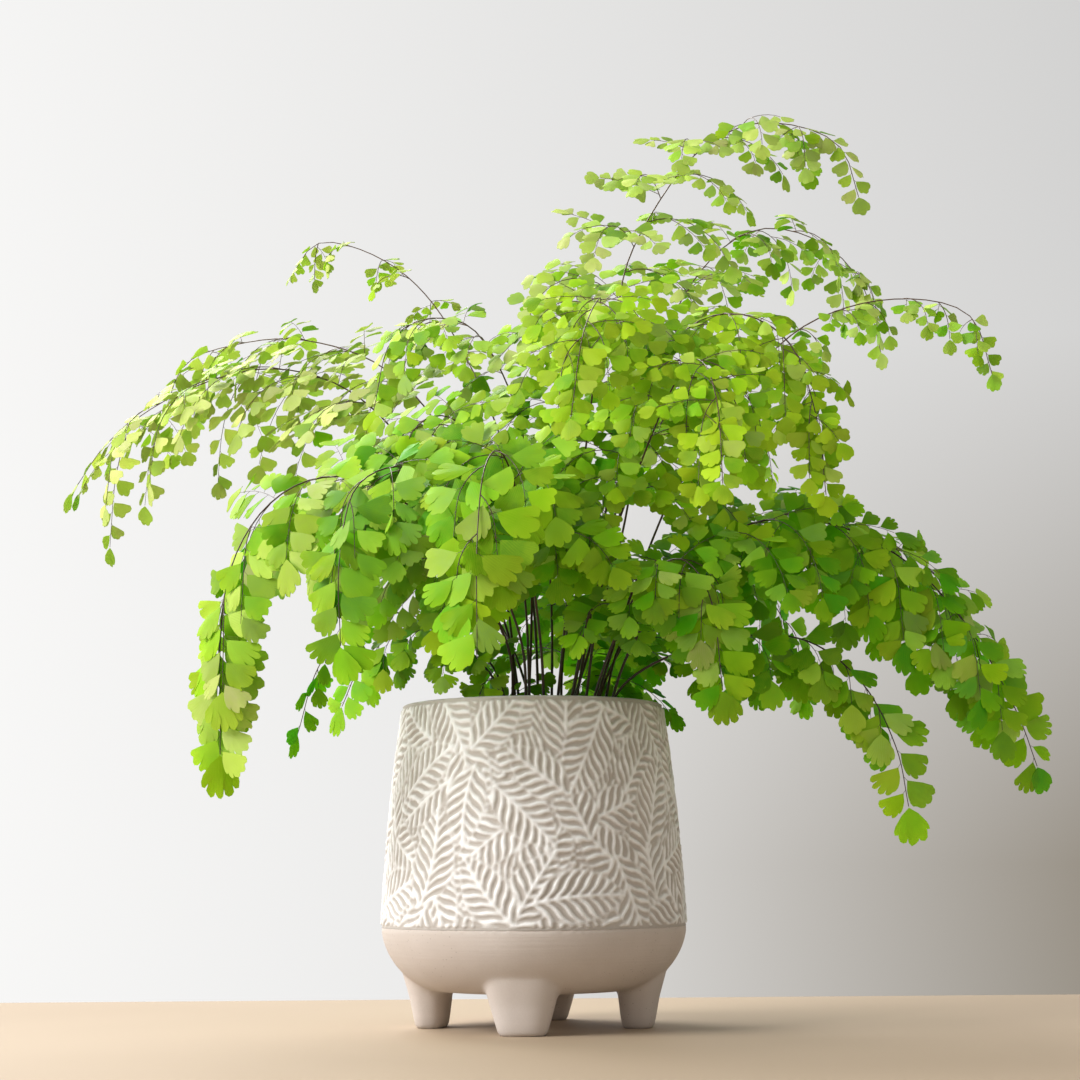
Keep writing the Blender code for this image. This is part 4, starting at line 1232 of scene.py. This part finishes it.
def bentLeaflet(leaflet, x, y):
    # a flat leaflet gets its sag, cup and waves, and goes to its place
    look = leafLook
    away = x**2 + y**2
    wave = random.uniform(*look["wave"])
    wave = wave * np.sin(y * random.uniform(*look["waves"]) + random.uniform(0, 6)) * away
    sag = -random.uniform(*look["sag"]) * away - random.uniform(*look["cupping"]) * y**2 + wave
    local = np.stack([x, y * random.uniform(*look["widths"]), sag], 1) * leaflet.size
    return local @ np.array([leaflet.way, leaflet.side, leaflet.face]) + np.array(leaflet.base)


def leafletTint(leaflet, out, chill, paleSheenShare):
    # its colour at each point; out goes from 0 at the base to 1 at the rim
    look = leafLook
    bright = random.uniform(*look["bright"])
    cool = clamp(chill + random.gauss(0.0, look["coolSpread"]))
    # its share of the pale tone, partly painted sheen, as if light glanced off the leaflet
    paleSheen = clamp(paleSheenShare + random.gauss(0.0, look["paleSheenSpread"]))
    fresher, rimCool, rimBright = look["rim"]
    inner = leafColour(leaflet.fresh + look["inside"], cool, paleSheen, bright)
    rim = leafColour(leaflet.fresh + fresher, cool * rimCool, paleSheen, bright * rimBright)
    share = np.clip((out - look["rimStart"]) / (1 - look["rimStart"]), 0, 1) ** 2
    return inner * (1 - share) + rim * share


def leafletMesh(name, leaflets, templates, chill, paleSheenShare):
    points, faces, colours, marks = [], [], [], []
    offset = 0
    half = 0.5 * fern["thickness"] * mm
    for leaflet in leaflets:
        flat, closed, mirrored, uv = random.choice(templates[leaflet.kind, abs(leaflet.hand)])
        # the straight side looks to the rib's foot, so the hand is turned over
        hand = -leaflet.hand if leaflet.hand else random.choice((1, -1))
        placed = bentLeaflet(leaflet, flat[:, 0], flat[:, 1] * hand)
        thick = np.array(leaflet.face) * half
        points += [placed + thick, placed - thick]
        chosen = closed if hand == 1 else mirrored
        faces += [tuple(index + offset for index in face) for face in chosen]
        tint = leafletTint(leaflet, uv[:, 1:2], chill, paleSheenShare)
        colours += [tint, tint]
        marks += [uv, uv]
        offset += 2 * len(flat)
    mesh = meshFrom(name, np.concatenate(points), faces)
    mesh.set_sharp_from_angle(angle=math.radians(leafLook["sharp"]))
    tint = np.concatenate(colours)
    tint = np.hstack([tint, np.ones((len(tint), 1))]).astype(np.float32)
    attribute = mesh.color_attributes.new("leafTint", "FLOAT_COLOR", "POINT")
    attribute.data.foreach_set("color", tint.ravel())
    corners = np.zeros(len(mesh.loops), np.int32)
    mesh.loops.foreach_get("vertex_index", corners)
    layer = mesh.uv_layers.new(name="fan")
    layer.data.foreach_set("uv", np.concatenate(marks)[corners].astype(np.float32).ravel())
    return mesh


def tubeMesh(name, runs, roundness):
    # thin tubes, each along a run of points with a radius in millimetres at each
    curve = bpy.data.curves.new(name, "CURVE")
    curve.dimensions = "3D"
    curve.bevel_depth = mm
    curve.bevel_resolution = roundness
    curve.use_fill_caps = True
    for spots, radii in runs:
        spline = curve.splines.new("POLY")
        spline.points.add(len(spots) - 1)
        for point, spot, radius in zip(spline.points, spots, radii):
            point.co = (*spot, 1.0)
            point.radius = radius
    return takeMesh(linked(name, curve))


def stemMeshes(name, frond):
    # the stalk by itself, and all branches, twigs and footstalks
    line = frond.line
    thick, thin = fern["stalkRadius"]
    taper = fern["stalkTaper"]
    stalk = [thick + (thin - thick) * (mark / line.length) ** taper for mark in line.marks]
    twigs = []
    for rib in frond.ribs:
        if rib.radii:
            (thick, thin), marks = rib.radii, rib.line.marks
            radii = [thick + (thin - thick) * mark / marks[-1] for mark in marks]
            twigs.append((rib.line.points, radii))
        for leaflet in rib.leaflets:
            if leaflet.hand:
                inside = leaflet.base + leaflet.way * leaflet.size * fern["footstalkInside"]
                twigs.append(([leaflet.foot, inside], [fern["footstalkRadius"]] * 2))
    return tubeMesh(name + "stalk", [(line.points, stalk)], 2), tubeMesh(name + "twigs", twigs, 0)


def fanVeinsGroup():
    # radiating veins that fork once on their way to the margin
    group, given, result = newGroup("fanVeins", {
        "Fan": "NodeSocketVector", "Tint": "NodeSocketColor", "Vein": "NodeSocketColor",
        "Position": "NodeSocketVector"})
    fan = put(group, "ShaderNodeSeparateXYZ", {"Vector": given["Fan"]}).outputs
    lines = []
    for count in (11.0, 22.0):
        saw = maths(group, "FRACT", maths(group, "MULTIPLY", fan["X"], count))
        off = maths(group, "ABSOLUTE", maths(group, "SUBTRACT", saw, 0.5))
        lines.append(spread(group, off, 0.34, 0.5))
    outer = spread(group, fan["Y"], 0.42, 0.56)
    forked = put(group, "ShaderNodeMix", {"Factor": outer, "A": lines[0], "B": lines[1]},
                 data_type="FLOAT").outputs["Result"]
    blotch = cloudy(group, given["Position"], 240.0, 3.0)
    blotched = spread(group, blotch, 0.42, 0.72, 0.0, 0.3)
    mottled = blendColour(group, blotched, given["Tint"], given["Vein"])
    faint = maths(group, "MULTIPLY", forked, 0.75)
    feed(group, result, {
        "Colour": blendColour(group, faint, mottled, given["Vein"]),
        "Height": maths(group, "MULTIPLY", forked, -1.0),
        "Roughness": spread(group, blotch, 0.3, 0.7, 0.42, 0.58)})
    return group


fanVeins = fanVeinsGroup()


def leafMaterial(name, vein):
    material, tree, shader = newMaterial(name)
    tint = put(tree, "ShaderNodeVertexColor", layer_name="leafTint").outputs["Color"]
    fan = put(tree, "ShaderNodeUVMap", uv_map="fan").outputs["UV"]
    veins = useGroup(tree, fanVeins, {
        "Fan": fan, "Tint": tint, "Vein": vein, "Position": position(tree)})
    feed(tree, shader, {
        "Base Color": veins["Colour"],
        "Roughness": veins["Roughness"],
        "Normal": bumped(tree, veins["Height"], 0.12, 0.0001),
        "Specular IOR Level": 0.14})
    glow = blendColour(tree, 0.3, tint, (0.28, 0.80, 0.03, 1))  # of light through the leaf
    through = put(tree, "ShaderNodeBsdfTranslucent", {"Color": glow}).outputs["BSDF"]
    mixed = put(tree, "ShaderNodeMixShader", {"Fac": 0.42, 1: shader.outputs["BSDF"], 2: through})
    feed(tree, tree.nodes["Material Output"], {"Surface": mixed.outputs["Shader"]})
    return material


def stemMaterial():
    material, tree, shader, _, dark = cloudedMaterial(
        "polishedStalk", (160.0, 3.0), (0.35, 0.65),
        ((0.022, 0.011, 0.008, 1), (0.060, 0.026, 0.014, 1)), (0.26, 0.42))
    height = put(tree, "ShaderNodeSeparateXYZ", {"Vector": position(tree)}).outputs["Z"]
    # the stalks are a lighter brown higher up
    lighterHigher = spread(tree, height, 0.16, 0.36, 0.0, 0.7)
    feed(tree, shader, {"Base Color": blendColour(tree, lighterHigher, dark, (0.115, 0.055, 0.024, 1))})
    return material


def makeFronds():
    fronds = growFern()
    draw = random.Random(leafLook["seed"])
    shapes = range(leafLook["shapes"])
    templates = {(kind, hand): [leafletTemplate(kind, hand, draw) for _ in shapes]
                 for kind in leafletKinds for hand in (0, 1)}
    leaves = {"leaf_fresh": leafMaterial("freshLeaf", (0.58, 0.77, 0.05, 1)),
              "leaf_green": leafMaterial("greenLeaf", (0.46, 0.68, 0.03, 1)),
              "leaf_deep": leafMaterial("deepLeaf", (0.26, 0.54, 0.01, 1))}
    stem = stemMaterial()
    total = 0
    for frond in fronds:
        leaflets = [leaflet for rib in frond.ribs for leaflet in rib.leaflets]
        total += len(leaflets)
        name = "leafy_" + frond.name
        mesh = leafletMesh(name, leaflets, templates, *frond.tones)
        shape = bmesh.new()
        shape.from_mesh(mesh)
        for tube in stemMeshes(name, frond):
            known = len(shape.faces)
            shape.from_mesh(tube)
            shape.faces.ensure_lookup_table()
            for face in shape.faces[known:]:
                face.material_index = 1
                face.smooth = True
            bpy.data.meshes.remove(tube)
        shape.to_mesh(mesh)
        shape.free()
        leafy = addObject(name, mesh, [leaves[frond.slot], stem])
        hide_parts("frond_" + frond.name)
    print("fronds", len(fronds), "leaflets", total)


makeFronds()


# Floor, light and camera

studio = {
    "floor": ((0.455, 0.350, 0.245, 1), (0.415, 0.315, 0.217, 1)),
    "floorSize": (3.0, -3.0, 0.215),  # half width, near edge, and far edge a little behind the pot
    # the air is brightest on the left and behind: its level, and its change along X and Y
    "air": {"colour": (1.0, 0.995, 0.985, 1), "level": 0.570, "left": -0.53, "behind": 0.240,
            "least": 0.30},
    # low on the right it is dim and warm: where that starts and is full along X, and along Z
    "dim": {"colour": (0.46, 0.41, 0.34, 1), "across": (-0.05, 0.27), "down": (0.25, 0.0)},
    # place, size, power and colour
    "lights": {
        "key": ((-3.36, -1.54, 2.28), 2.4, 204, (1.0, 0.995, 0.99)),
        "back": ((-1.10, 1.60, 2.00), 1.6, 66, (1.0, 0.99, 0.975)),
        "fill": ((1.5, -1.3, 0.8), 1.5, 6, (1.0, 0.93, 0.84)),
    },
    "aim": (0.0, 0.0, 0.24),
    "lens": 67.4,
    "eye": (0.0044, -1.0, 0.076),
    "pitch": 9.2,
    "roll": -0.45,
}


def makeFloor():
    wide, near, far = studio["floorSize"]
    corners = [(-wide, near, 0), (wide, near, 0), (wide, far, 0), (-wide, far, 0)]
    material, tree, shader = newMaterial("paleFloor")
    cloud = spread(tree, cloudy(tree, position(tree), 3.0, 2.0), 0.3, 0.7)
    feed(tree, shader, {"Base Color": blendColour(tree, cloud, *studio["floor"]), "Roughness": 0.7})
    floor = linked("floor", meshFrom("floor", corners, [(0, 1, 2, 3)]))
    floor.data.materials.append(material)


def addLight(name, place, size, power, colour):
    light = bpy.data.lights.new(name, "AREA")
    light.shape = "DISK"
    light.size, light.energy, light.color = size, power, colour
    obj = linked(name, light)
    obj.location = place
    obj.rotation_euler = (Vector(studio["aim"]) - Vector(place)).to_track_quat("-Z", "Y").to_euler()


def makeAir():
    air, dim = studio["air"], studio["dim"]
    world = bpy.data.worlds.new("studioAir")
    world.use_nodes = True
    tree = world.node_tree
    away = put(tree, "ShaderNodeTexCoord").outputs["Generated"]
    parts = put(tree, "ShaderNodeSeparateXYZ", {"Vector": away}).outputs
    level = maths(tree, "MULTIPLY_ADD", parts["X"], air["left"], air["level"])
    level = maths(tree, "ADD", level, maths(tree, "MULTIPLY", parts["Y"], air["behind"]))
    across, down = spread(tree, parts["X"], *dim["across"]), spread(tree, parts["Z"], *dim["down"])
    share = maths(tree, "MULTIPLY", across, down)
    feed(tree, tree.nodes["Background"], {
        "Color": blendColour(tree, share, air["colour"], dim["colour"]),
        "Strength": maths(tree, "MAXIMUM", level, air["least"])})
    bpy.context.scene.world = world


def makeCamera():
    camera = linked("camera", bpy.data.cameras.new("camera"))
    camera.data.sensor_width = 36
    camera.data.lens = studio["lens"]
    camera.data.clip_start = 0.01
    tilt = Matrix.Rotation(math.radians(90 + studio["pitch"]), 4, "X")
    roll = Matrix.Rotation(math.radians(studio["roll"]), 4, "Z")
    camera.matrix_world = Matrix.Translation(studio["eye"]) @ tilt @ roll
    bpy.context.scene.camera = camera


makeFloor()
for name, setup in studio["lights"].items():
    addLight(name, *setup)
makeAir()
makeCamera()
bpy.context.scene.view_settings.view_transform = "Standard"
print("studio")
